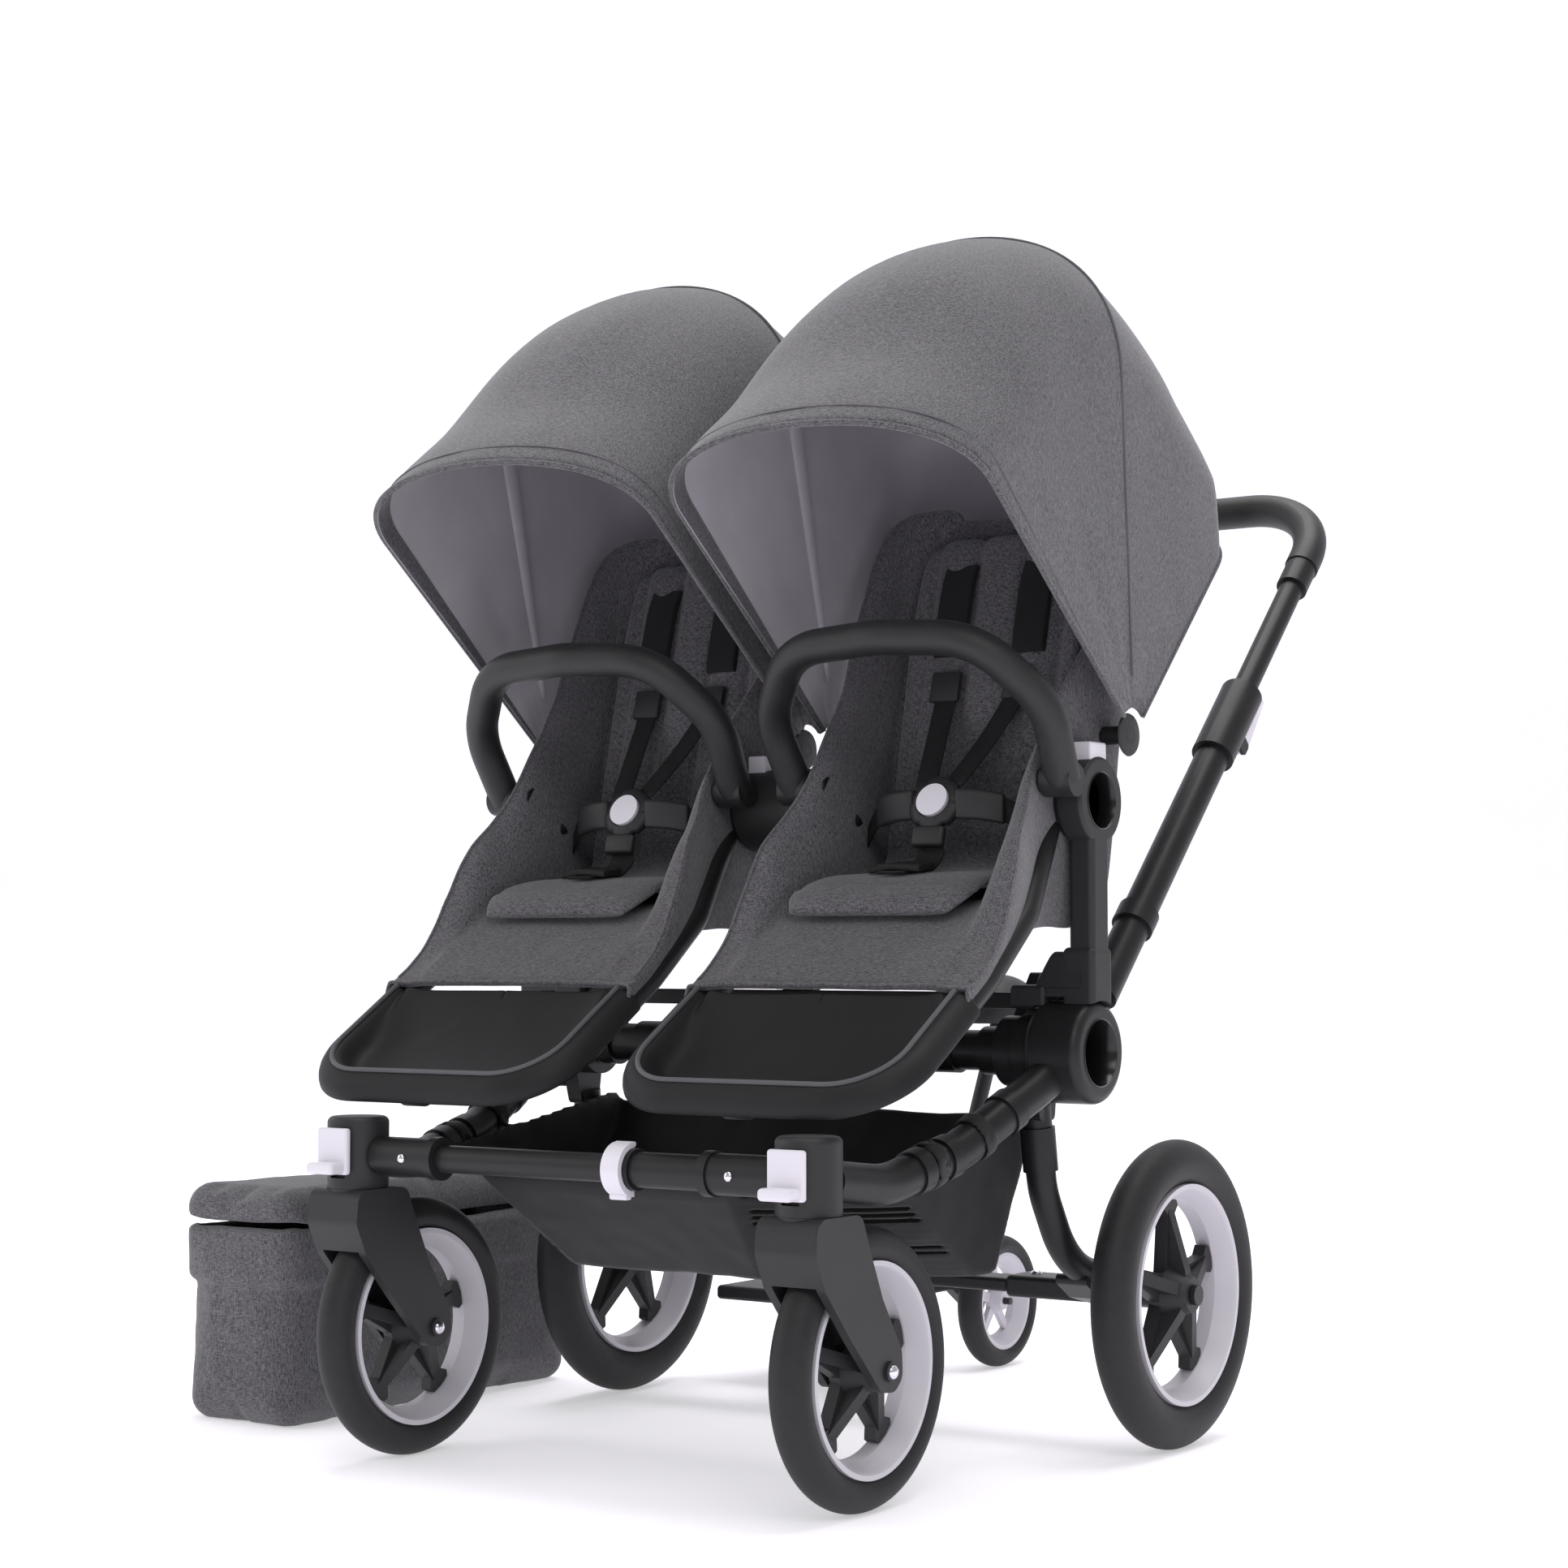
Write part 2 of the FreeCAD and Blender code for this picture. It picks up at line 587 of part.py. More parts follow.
def seat_frame_form(grow):
    """Footrest hoop, side hubs, back hoop and canopy pivots of one seat."""
    front_bar = 15.0 + grow
    hoop = [point(-114.0, 274.0, 624.0), point(-140.0, 178.0, 524.0), point(-144.0, 100.0, 466.0),
            point(-144.0, -68.0, 360.0), point(144.0, -68.0, 360.0), point(144.0, 100.0, 466.0),
            point(140.0, 178.0, 524.0), point(114.0, 274.0, 624.0)]
    bodies = [tube(hoop, front_bar - 2.0, 62.0)]
    rear = [point(-118.0, ring_y + 18.0, ring_z), point(-118.0, back_front(700.0) + 16.0, 700.0),
            point(-118.0, back_front(925.0) + 16.0, 925.0), point(118.0, back_front(925.0) + 16.0, 925.0),
            point(118.0, back_front(700.0) + 16.0, 700.0), point(118.0, ring_y + 18.0, ring_z)]
    bodies.append(tube(rear, 8.0 + grow, 50.0))
    for side in (-1, 1):
        hub = across(side * (108.0 - grow), side * (ring_near - fit), ring_y, ring_z, 38.0 + grow)
        pivot = across(side * 112.0, side * (canopy_half - wall - fit), canopy_y, canopy_z, 9.0 + grow)
        boss = across(side * (112.0 - grow), side * (ring_near - fit), bar_y, bar_z, 12.0 + grow)
        bridge = prism([(bar_y - 4.0, bar_z - 9.0), (ring_y, ring_z - 12.0), (ring_y, ring_z + 12.0),
                        (bar_y - 4.0, bar_z + 9.0)], min(side * 112.0, side * 128.0),
                       max(side * 112.0, side * 128.0), 3.0)
        arm = prism([(canopy_y - 7.0, canopy_z - 6.0), (back_front(700.0) + 14.0, canopy_z - 6.0),
                     (back_front(700.0) + 14.0, canopy_z + 6.0), (canopy_y - 7.0, canopy_z + 6.0)],
                    min(side * 112.0, side * 124.0), max(side * 112.0, side * 124.0), 3.0)
        bodies += [hub, pivot, boss, bridge, arm]
    return joined(bodies)


def seat_shell():
    """Fabric seat: back, pan and footrest panel with two side wings."""
    top, foot = 935.0, 545.0
    panel = prism([(back_front(top), top), (back_front(foot), foot), (308.0, 530.0), (150.0, 530.0),
                   (50.0, 467.0), (-56.0, 374.0), (-50.0, 366.0), (52.0, 456.0), (150.0, 515.0),
                   (338.0, 513.0), (back_front(foot) + 16.0, foot), (back_front(top) + 16.0, top)],
                  -118.0, 118.0, 6.0)
    lower = [(-50.0, 372.0), (50.0, 466.0), (150.0, 528.0), (150.0, 517.0), (52.0, 458.0), (-46.0, 366.0)]
    foot_panel = prism(lower, -130.0, 130.0, 2.0)
    wing = [(98.0, 470.0), (112.0, 500.0), (140.0, 566.0), (170.0, 612.0), (206.0, 630.0), (250.0, 690.0),
            (318.0, 800.0), (372.0, 916.0), (398.0, 940.0), (442.0, 936.0), (back_front(700.0) + 16.0, 700.0),
            (346.0, 560.0), (342.0, 514.0), (200.0, 508.0), (120.0, 470.0)]
    bodies = [panel, foot_panel]
    for side in (-1, 1):
        low, high = sorted((side * 117.0, side * lap_half))
        flank = prism(wing, low, high, 16.0)
        low, high = sorted((side * (seat_half + 0.5), side * (lap_half + 20.0)))
        bodies.append(flank.cut(block((low, high), (208.0, 620.0), (400.0, 1000.0))))
    return joined(bodies).cut(seat_frame_form(fit))


def seat_pad():
    """One-piece padded liner for the back and the seat, rolling over the front edge."""
    gap = 18.0
    outline = [(back_front(912.0) - gap, 912.0), (back_front(562.0) - gap, 562.0), (160.0, 562.0),
               (136.0, 552.0), (56.0, 488.0), (58.0, 472.5), (148.0, 530.0 + fit), (306.0, 530.0 + fit),
               (back_front(548.0) - 1.0, 548.0), (back_front(916.0) - 1.0, 922.0)]
    return prism(outline, -114.0, 114.0, 8.0).cut(seat_frame_form(fit))


buckle_place = point(0, 250.0, 635.0)
buckle_way = point(0, -math.cos(math.radians(24.0)), math.sin(math.radians(24.0)))


def buckle_rod(low, high, radius):
    return rod(buckle_place + buckle_way * low, buckle_place + buckle_way * high, radius)


def harness():
    """Shoulder, waist and crotch straps, sliders and the round buckle housing."""
    gap = 18.0 + 4.5
    bodies = [buckle_rod(-7.0, 7.0, 29.0)]
    thick = point(0, 3.5, 0)
    for side in (-1, 1):
        run = [point(side * 46.0, back_front(900.0) - gap, 900.0), point(side * 46.0, back_front(800.0) - gap, 800.0),
               point(side * 38.0, back_front(735.0) - gap - 14.0, 735.0), point(side * 14.0, 254.0, 648.0)]
        bodies.append(strap(run, point(11.0, 0, 0), thick))
        pad_run = [point(side * 46.0, back_front(878.0) - gap - 3.0, 878.0),
                   point(side * 46.0, back_front(800.0) - gap - 4.0, 800.0)]
        bodies.append(strap(pad_run, point(18.0, 0, 0), point(0, 6.0, 0)))
        waist = [point(side * 16.0, 252.0, 634.0), point(side * 62.0, 262.0, 628.0), point(side * 108.0, 292.0, 596.0)]
        bodies.append(strap(waist, point(0, 0, 10.0), point(0, 3.5, 0)))
        bodies.append(block(tuple(sorted((side * 52.0, side * 72.0))), (252.0, 268.0), (612.0, 644.0), 3.0))
    crotch = [point(0, 253.0, 622.0), point(0, 236.0, 590.0), point(0, 214.0, 562.0 + fit)]
    bodies.append(strap(crotch, point(15.0, 0, 0), point(0, 4.0, 0)))
    bodies.append(block((-17.0, 17.0), (232.0, 256.0), (588.0, 624.0), 4.0))
    return joined(bodies).cut(buckle_rod(0.5, 12.0, 17.0 + fit))


def buckle_button():
    return buckle_rod(4.0, 9.5, 17.0)


def bumper_bar():
    """Bent padded bar with an eye at each end that turns on the seat frame's boss."""
    side_x = 151.0
    run = [point(side_x, bar_y, bar_z), point(side_x + 6.0, 194.0, 720.0), point(104.0, 150.0, 782.0),
           point(0, 140.0, 788.0)]
    run += [point(-p.x, p.y, p.z) for p in run[-2::-1]]
    bodies = [tube(run, 17.0, 80.0)]
    for side in (-1, 1):
        bodies.append(across(side * (ring_near + fit), side * 166.0, bar_y, bar_z, 16.0))
    return joined(bodies)


def hoop_wire(angle, side, crown, inset, start, trim):
    """One canopy hoop: straight legs and a rounded crown, fanned about the pivot line."""
    a = math.radians(angle)
    half = canopy_half - inset
    side_top, crown_top = side - inset, crown - inset
    fullness, spread = 0.79, 0.41
    rise = crown_top - side_top

    def at(x, r):
        return point(x, canopy_y - r * math.cos(a), canopy_z + r * math.sin(a))

    def quarter(way):
        curve = Part.BezierCurve()
        curve.setPoles([at(way * half, side_top), at(way * half, side_top + fullness * rise),
                        at(way * half * spread, crown_top), at(0, crown_top)])
        return curve.toShape()

    low_left, low_right = at(-half, start - trim), at(half, start - trim)
    return Part.Wire([Part.makeLine(low_left, at(-half, side_top)), quarter(-1), quarter(1),
                      Part.makeLine(at(half, side_top), low_right), Part.makeLine(low_right, low_left)])


def canopy_form(inset, open_front, close_back):
    """Solid inside one skin of the canopy: the visor part and the rear part."""
    trim = 12.0 if inset else 0.0
    visor = [(38.1 - open_front, 340.0, 433.0), (54.5, 330.0, 428.0), (71.0, 323.0, 474.0), (86.4, 348.0, 501.0)]
    rear = [(86.4, 348.0, 501.0), (109.9, 313.0, 427.0), (125.5, 300.0, 404.0), (135.2 - close_back, 259.0, 343.0)]
    front = Part.makeLoft([hoop_wire(a, s, c, inset, 26.0, trim) for a, s, c in visor], True, False)
    back = Part.makeLoft([hoop_wire(a, s, c, inset, 26.0, trim) for a, s, c in rear], True, True)
    return front.fuse(back)


def canopy():
    """Hood skin, open in front and below, with a disc at each pivot."""
    skin = canopy_form(0.0, 0.0, 0.0).cut(canopy_form(wall, 2.0, 1.2))
    skin = skin.cut(block((-canopy_half + wall, canopy_half - wall), (canopy_y - 24.0, canopy_y + 123.0),
                          (canopy_z - 22.0, canopy_z + 126.0)))
    for side in (-1, 1):
        low, high = side * (canopy_half - wall), side * canopy_half
        skin = skin.fuse(across(low, high, canopy_y, canopy_z, 27.5))
    return skin.removeSplitter()


def seats():
    found = {}
    makers = {"seat_frame": seat_frame_form(0.0), "seat_shell": seat_shell(), "seat_pad": seat_pad(),
              "harness": harness(), "buckle_button": buckle_button(), "bumper_bar": bumper_bar(),
              "canopy": canopy()}
    for name, body in makers.items():
        for side, x in (("right", seat_x), ("left", -seat_x)):
            placed = body.copy()
            placed.translate(point(x, 0, 0))
            found[name + "_" + side] = placed
    return found


# luggage bag standing on the floor

bag_x = (-612.0, -445.0)
bag_y = (20.0, 485.0)
bag_top, bag_seam, bag_band = 240.0, 206.0, 150.0


def bag_body():
    """Fabric bag, open at the top, with a thicker band around its mouth."""
    x, y = (bag_x[0] + 4.0, bag_x[1] - 4.0), (bag_y[0] + 4.0, bag_y[1] - 4.0)
    outer = block(x, y, (0.0, bag_seam + 60.0), 26.0)
    band = block(bag_x, bag_y, (bag_band, bag_seam + 60.0), 26.0)
    band = band.common(block(bag_x, bag_y, (bag_band + 30.0, bag_seam + 60.0)))
    band.translate(point(0, 0, -30.0))
    whole = outer.fuse(band).common(block(bag_x, bag_y, (0.0, bag_seam)))
    room = block((x[0] + 5.0, x[1] - 5.0), (y[0] + 5.0, y[1] - 5.0), (6.0, bag_seam + 60.0), 22.0)
    return whole.cut(room).removeSplitter()


def bag_lid():
    """Shallow padded lid that meets the band all round."""
    body = block(bag_x, bag_y, (bag_seam + fit - 40.0, bag_top), 26.0)
    room = block((bag_x[0] + 9.0, bag_x[1] - 9.0), (bag_y[0] + 9.0, bag_y[1] - 9.0),
                 (bag_seam - 40.0, bag_top - 6.0), 20.0)
    return body.common(block(bag_x, bag_y, (bag_seam + fit, bag_top + 1.0))).cut(room)


# rider board behind the axle

board_x, board_y, board_radius = -90.0, 840.0, 77.0
board_hinge_y, board_hinge_z = 487.0, 150.0


def board_frame():
    """Hinge barrel at the axle bar, arm, deck, wheel leg and saddle stem."""
    barrel = across(-155.0, -60.0, board_hinge_y, board_hinge_z, 12.5)
    arm = prism([(board_hinge_y, 158.0), (board_hinge_y, 142.0), (560.0, 92.0), (600.0, 92.0),
                 (600.0, 106.0), (560.0, 112.0)], -150.0, -90.0, 5.0)
    deck = block((-300.0, -118.0), (560.0, 800.0), (92.0, 108.0), 5.0)
    leg = prism([(780.0, 94.0), (780.0, 112.0), (838.0, 96.0), (856.0, 84.0), (852.0, 64.0), (830.0, 62.0)],
                -128.0, -116.0, 5.0)
    pin = across(-118.0, board_x + 18.0, board_y, board_radius, 4.0)
    stem = tube([point(-130.0, 770.0, 100.0), point(-128.0, 800.0, 180.0), point(-96.0, 858.0, 414.0)], 9.0, 60.0)
    return joined([barrel, arm, deck, leg, pin, stem, saddle_dome()])


def saddle_dome():
    """Small domed saddle carried by the stem."""
    dome = Part.makeSphere(58.0)
    squash = FreeCAD.Matrix()
    squash.scale(0.85, 1.0, 0.75)
    dome = dome.transformGeometry(squash)
    dome.translate(point(-94.0, 850.0, 419.0))
    return dome.common(block((-200.0, 20.0), (700.0, 1000.0), (405.0, 470.0)))


def board_wheel():
    tread = tyre(board_radius, 57.0, 30.0, board_x, board_y)
    barrel = rim(57.0, board_x, board_y, board_radius, 11.0)
    hub = turned([(-10.0, 0), (-10.0, 13.0), (-3.0, 14.0), (9.0, 10.0), (9.0, 0)], 0, 0, 0)
    bodies = [hub]
    for i in range(5):
        arm = prism([(5.0, -6.0), (43.0, -4.0), (43.0, 4.0), (5.0, 6.0)], -9.0, -3.0, 1.0)
        arm.rotate(point(0, 0, 0), point(1, 0, 0), 90.0 + 72.0 * i)
        bodies.append(arm)
    spokes = joined(bodies)
    spokes.translate(point(board_x, board_y, board_radius))
    whole = joined([barrel, spokes]).cut(across(board_x - 20.0, board_x + 20.0, board_y, board_radius, 4.0 + fit))
    return {"board_tyre": tread, "board_rim": whole}


def all_parts():
    found = {}
    found.update(front_wheels())
    found.update(rear_wheels())
    found.update(pair(fork(), "fork"))
    found.update(pair(castor_housing(), "castor_housing"))
    found.update(pair(swivel_lock(), "swivel_lock"))
    found["front_crossbar"] = front_crossbar()
    found["crossbar_lever"] = crossbar_lever()
    found.update(pair(side_frame(), "side_frame"))
    found.update(pair(upright(), "upright"))
    found["centre_post"] = centre_post()
    found.update(ring_buttons())
    found["cross_tube"] = cross_tube()
    found["carrier_rail"] = carrier_rail()
    found.update(pair(rear_leg(), "rear_leg"))
    found["axle_bar"] = axle_bar()
    found.update(pair(handle_sleeve(), "handle_sleeve"))
    found.update(pair(clamp_lever(), "clamp_lever"))
    found["handle_bar"] = handle_bar()
    found["handle_grip"] = handle_grip()
    found["basket"] = basket()
    found.update(seats())
    found["bag_body"] = bag_body()
    found["bag_lid"] = bag_lid()
    found["board_frame"] = board_frame()
    found.update(board_wheel())
    return found


# the stored frame has its origin at the middle of the base of everything
middle_x = (bag_x[0] + rear_x + rear_width / 2.0 + 2.0) / 2.0
middle_y = (board_y + board_radius + steer_y - housing_radius - lock_reach) / 2.0

os.makedirs("parts", exist_ok=True)
for name, shape in all_parts().items():
    shape.translate(point(-middle_x, -middle_y, 0))
    shape.exportStep("parts/" + name + ".step")
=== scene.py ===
import bmesh
import bpy
import math
from mathutils import Matrix, Vector, noise


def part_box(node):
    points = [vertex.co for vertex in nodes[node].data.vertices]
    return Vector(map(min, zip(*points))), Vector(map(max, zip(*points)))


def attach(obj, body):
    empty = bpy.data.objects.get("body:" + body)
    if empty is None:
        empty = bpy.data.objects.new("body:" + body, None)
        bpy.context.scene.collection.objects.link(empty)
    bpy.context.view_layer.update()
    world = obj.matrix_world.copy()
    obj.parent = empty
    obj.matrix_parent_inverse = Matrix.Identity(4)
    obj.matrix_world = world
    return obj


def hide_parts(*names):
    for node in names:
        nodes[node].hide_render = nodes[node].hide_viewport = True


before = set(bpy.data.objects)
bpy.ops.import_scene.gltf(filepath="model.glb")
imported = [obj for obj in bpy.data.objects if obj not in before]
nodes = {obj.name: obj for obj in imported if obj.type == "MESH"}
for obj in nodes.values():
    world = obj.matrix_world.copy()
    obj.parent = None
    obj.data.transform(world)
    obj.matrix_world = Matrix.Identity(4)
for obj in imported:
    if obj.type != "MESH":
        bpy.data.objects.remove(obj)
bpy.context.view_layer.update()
sides = {"right": 1, "left": -1}

# everything is placed in millimetres from the floor point midway between the front axles
wheelLow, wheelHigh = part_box("front_tyre_right")
leftLow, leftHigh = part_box("front_tyre_left")
wheelMiddle = (Vector(wheelLow) + Vector(wheelHigh)) / 2
origin = Vector(((wheelMiddle.x + (leftLow[0] + leftHigh[0]) / 2) / 2, wheelMiddle.y, 0))

seat = {"pitch": 378, "webGap": 24, "recline": 0.27, "backY": 325, "backZ": 560}
# hoop tables give angle, side height and crown height for the visor and the rear
hood = {"half": 174, "pivotY": 332, "pivotZ": 700, "fullness": 0.79, "spread": 0.41, "start": 26,
        "front": 38.1, "ridge": 86.4, "back": 135.2, "tunnel": 77.0, "crease": 124.0, "leg": 0.42,
        "visorSag": 2.0, "rearSag": 1.6, "ripple": 1.3, "creaseDepth": 2.4, "columns": 96,
        "thickness": 0.0026, "apronFoot": (449, 822), "apronHalf": 168,
        "visor": [(38.1, 340, 433), (54.5, 330, 428), (71, 323, 474), (86.4, 348, 501)],
        "rear": [(86.4, 348, 501), (109.9, 313, 427), (125.5, 300, 404), (135.2, 259, 343)]}


def at(x, y, z):
    return origin + Vector((x, y, z)) / 1000


def backY(z):
    return seat["backY"] + seat["recline"] * (z - seat["backZ"])


class Wire:
    def __init__(self, recipe, socket):
        self.recipe, self.socket = recipe, socket

    def sum(self, kind, first, second=None):
        given = {0: first} if second is None else {0: first, 1: second}
        return self.recipe.node("Math", {"operation": kind}, given)

    def __add__(self, other): return self.sum("ADD", self, other)
    def __radd__(self, other): return self.sum("ADD", other, self)
    def __sub__(self, other): return self.sum("SUBTRACT", self, other)
    def __rsub__(self, other): return self.sum("SUBTRACT", other, self)
    def __mul__(self, other): return self.sum("MULTIPLY", self, other)
    def __rmul__(self, other): return self.sum("MULTIPLY", other, self)
    def __truediv__(self, other): return self.sum("DIVIDE", self, other)
    def __gt__(self, other): return self.sum("GREATER_THAN", self, other)
    def __lt__(self, other): return self.sum("LESS_THAN", self, other)
    def sine(self): return self.sum("SINE", self)
    def size(self): return self.sum("ABSOLUTE", self)


class Recipe:
    def __init__(self, name, **fixed):
        self.material = bpy.data.materials.new(name)
        self.material.use_nodes = True
        self.tree = self.material.node_tree
        self.shader = self.tree.nodes["Principled BSDF"]
        for socket, value in fixed.items():
            self.shader.inputs[socket.replace("_", " ")].default_value = value
        self.place = self.node("TexCoord", output="Object")

    def node(self, kind, settings=None, given=None, output=0):
        made = self.tree.nodes.new("ShaderNode" + kind)
        for key, value in (settings or {}).items():
            if key == "stops":
                while len(made.color_ramp.elements) < len(value):
                    made.color_ramp.elements.new(0.5)
                for element, (spot, colour) in zip(made.color_ramp.elements, value):
                    element.position, element.color = spot, colour
            else:
                setattr(made, key, value)
        for key, value in (given or {}).items():
            if isinstance(value, Wire):
                self.tree.links.new(value.socket, made.inputs[key])
            else:
                made.inputs[key].default_value = value
        return Wire(self, made.outputs[output])

    def feed(self, socket, wire):
        self.tree.links.new(wire.socket, self.shader.inputs[socket])

    def scaled(self, x, y, z):
        return self.node("VectorMath", {"operation": "MULTIPLY"}, {0: self.place, 1: (x, y, z)})

    def grain(self, where, scale=1.0, detail=2.0, rough=0.5):
        return self.node("TexNoise", None, {"Vector": where, "Scale": scale, "Detail": detail,
                                            "Roughness": rough})

    def parts(self, where=None):
        source = where or self.place
        return [self.node("SeparateXYZ", None, {0: source}, i) for i in range(3)]

    def blend(self, amount, first, second):
        return self.node("Mix", {"data_type": "RGBA"}, {0: amount, 6: first, 7: second}, 2)

    def bump(self, height, distance, strength=1.0):
        self.feed("Normal", self.node("Bump", None, {"Height": height, "Distance": distance,
                                                     "Strength": strength}))


def grey(level, warm=1.0):
    return (level * warm, level * 0.965, level * 1.05, 1)


cloth = {"dark": 0.04, "light": 0.175, "across": 900, "along": 190, "bump": 0.0004}


def melange(name, dark, light, roughness=0.9):
    r = Recipe(name, Roughness=roughness, Sheen_Weight=0.25, Sheen_Roughness=0.5,
               Specular_IOR_Level=0.2)
    a, b = cloth["across"], cloth["along"]
    flat = r.grain(r.scaled(b, a, a), 1, 1.5)
    tall = r.grain(r.scaled(a, a, b), 1, 1.5)
    cloudy = r.grain(r.place, 9, 3)
    mixture = (flat * 0.5 + tall * 0.5 - 0.5) * 3.4 + 0.5 + (cloudy - 0.5) * 0.16
    stops = [(0.0, grey(dark, 1.01)), (0.5, grey((dark + light) / 2, 1.0)), (1.0, grey(light, 0.99))]
    r.feed("Base Color", r.node("ValToRGB", {"stops": stops}, {0: mixture}))
    r.bump(flat + tall, cloth["bump"], 0.55)
    return r.material


def plainCloth(name, level, roughness, thread=700, bump=0.0002, sheen=0.1):
    r = Recipe(name, Roughness=roughness, Sheen_Weight=sheen, Specular_IOR_Level=0.25)
    weave = r.grain(r.scaled(thread, thread, thread * 0.6), 1, 2)
    worn = r.grain(r.place, 14, 4)
    r.feed("Base Color", r.blend(worn, grey(level * 0.8), grey(level * 1.2)))
    r.bump(weave + worn * 2, bump, 0.6)
    return r.material


def webbing(name):
    r = Recipe(name, Roughness=0.62, Specular_IOR_Level=0.3)
    x, y, z = r.parts()
    ribs = ((x + z) * 2600).sine() * ((z - x) * 2600).sine()
    r.feed("Base Color", r.blend(ribs * 0.5 + 0.5, grey(0.008), grey(0.02)))
    r.bump(ribs, 0.00025, 0.7)
    return r.material


def leatherette(name):
    r = Recipe(name, Specular_IOR_Level=0.45)
    cells = r.node("TexVoronoi", {"feature": "DISTANCE_TO_EDGE"}, {"Vector": r.place, "Scale": 620})
    worn = r.grain(r.place, 22, 4)
    r.feed("Base Color", r.blend(worn, grey(0.011), grey(0.02)))
    r.feed("Roughness", worn * 0.16 + 0.4)
    r.bump(cells * 2 + worn * 0.5, 0.00022, 0.6)
    return r.material


def hardBlack(name, level, roughness, metallic=0.0, grainBump=0.00008):
    r = Recipe(name, Metallic=metallic, Specular_IOR_Level=0.45)
    worn = r.grain(r.place, 30, 5)
    fine = r.grain(r.place, 1500, 2)
    r.feed("Base Color", r.blend(worn, grey(level * 0.82), grey(level * 1.18)))
    r.feed("Roughness", worn * 0.14 + (roughness - 0.07))
    r.bump(fine, grainBump, 0.5)
    return r.material


def whitePlastic(name, level, roughness):
    r = Recipe(name, Specular_IOR_Level=0.5)
    worn = r.grain(r.place, 40, 4)
    r.feed("Base Color", r.blend(worn, grey(level * 0.96), grey(level, 0.998)))
    r.feed("Roughness", worn * 0.1 + roughness)
    r.bump(r.grain(r.place, 900, 2), 0.00005, 0.4)
    return r.material


def metal(name, level, roughness):
    r = Recipe(name, Metallic=1.0)
    worn = r.grain(r.place, 300, 3)
    r.feed("Base Color", r.blend(worn, grey(level * 0.9), grey(level)))
    r.feed("Roughness", worn * 0.12 + roughness)
    return r.material


def tyreRubber(name, middle, radius, blocks):
    r = Recipe(name, Specular_IOR_Level=0.35)
    x, y, z = r.parts(r.node("VectorMath", {"operation": "SUBTRACT"}, {0: r.place, 1: middle}))
    turn = r.node("Math", {"operation": "ARCTAN2"}, {0: z, 1: y})
    across = x.size() * (1 / 0.023)
    out = r.node("VectorMath", {"operation": "LENGTH"},
                 {0: r.node("CombineXYZ", None, {1: y, 2: z})}, "Value")
    wave = (turn * blocks + across * across * 2.4).sine()
    second = (turn * blocks - across * 3.1 + 1.3).sine()
    leaf = ((wave.size() < 0.1) + (second.size() < 0.06)) * (out > radius * 0.83)
    ring = (((out - radius * 0.865).size() < 0.0007) + ((out - radius * 0.8).size() < 0.0006))
    worn = r.grain(r.place, 60, 4)
    r.feed("Base Color", r.blend(worn, grey(0.013), grey(0.024)))
    r.feed("Roughness", worn * 0.14 + 0.5)
    r.bump((leaf + ring) * -1 + r.grain(r.place, 900, 2) * 0.12, 0.0009, 0.9)
    return r.material


def basketCloth(name):
    r = Recipe(name, Roughness=0.62, Sheen_Weight=0.08, Specular_IOR_Level=0.3)
    worn = r.grain(r.place, 12, 4)
    weave = r.grain(r.scaled(900, 900, 700), 1, 2)
    r.feed("Base Color", r.blend(worn, grey(0.011), grey(0.021)))
    r.bump(weave + worn * 1.5, 0.0003, 0.6)
    return r.material


def meshCloth(name, pitch=0.0042):
    # open knitted mesh: a grid of round holes that lets light through
    r = Recipe(name, Roughness=0.7, Specular_IOR_Level=0.25)
    x, y, z = r.parts()
    n = 2 * math.pi / pitch
    u = ((x + y) * n).sine()
    v = ((z * 1.1 + (x - y) * 0.1) * n).sine()
    threads = u * v
    r.feed("Alpha", (threads.size() < 0.62))
    r.feed("Base Color", r.blend(threads.size(), grey(0.02), grey(0.012)))
    return r.material


finish = {
    "cloth": melange("heatherCloth", cloth["dark"], cloth["light"]),
    "lining": plainCloth("hoodLining", 0.46, 0.85, 500, 0.00015, 0.2),
    "piping": plainCloth("greyPiping", 0.11, 0.8, 1200, 0.0003),
    "liner": plainCloth("footLiner", 0.014, 0.55, 1400, 0.0001, 0.0),
    "dark": plainCloth("darkTrim", 0.012, 0.8, 1200, 0.0002),
    "web": webbing("webbing"),
    "leather": leatherette("leatherette"),
    "tube": hardBlack("blackTube", 0.018, 0.42, 0.35),
    "plastic": hardBlack("blackPlastic", 0.02, 0.52),
    "gloss": hardBlack("glossBlack", 0.008, 0.18),
    "white": whitePlastic("whiteLever", 0.8, 0.3),
    "rim": whitePlastic("rimWhite", 0.62, 0.36),
    "chrome": metal("chrome", 0.8, 0.12),
    "basket": basketCloth("basketCloth"),
    "mesh": meshCloth("knitMesh"),
}
print("finishes made")


def dress(node, *materials):
    mesh = nodes[node].data
    mesh.materials.clear()
    for m in materials:
        mesh.materials.append(m)


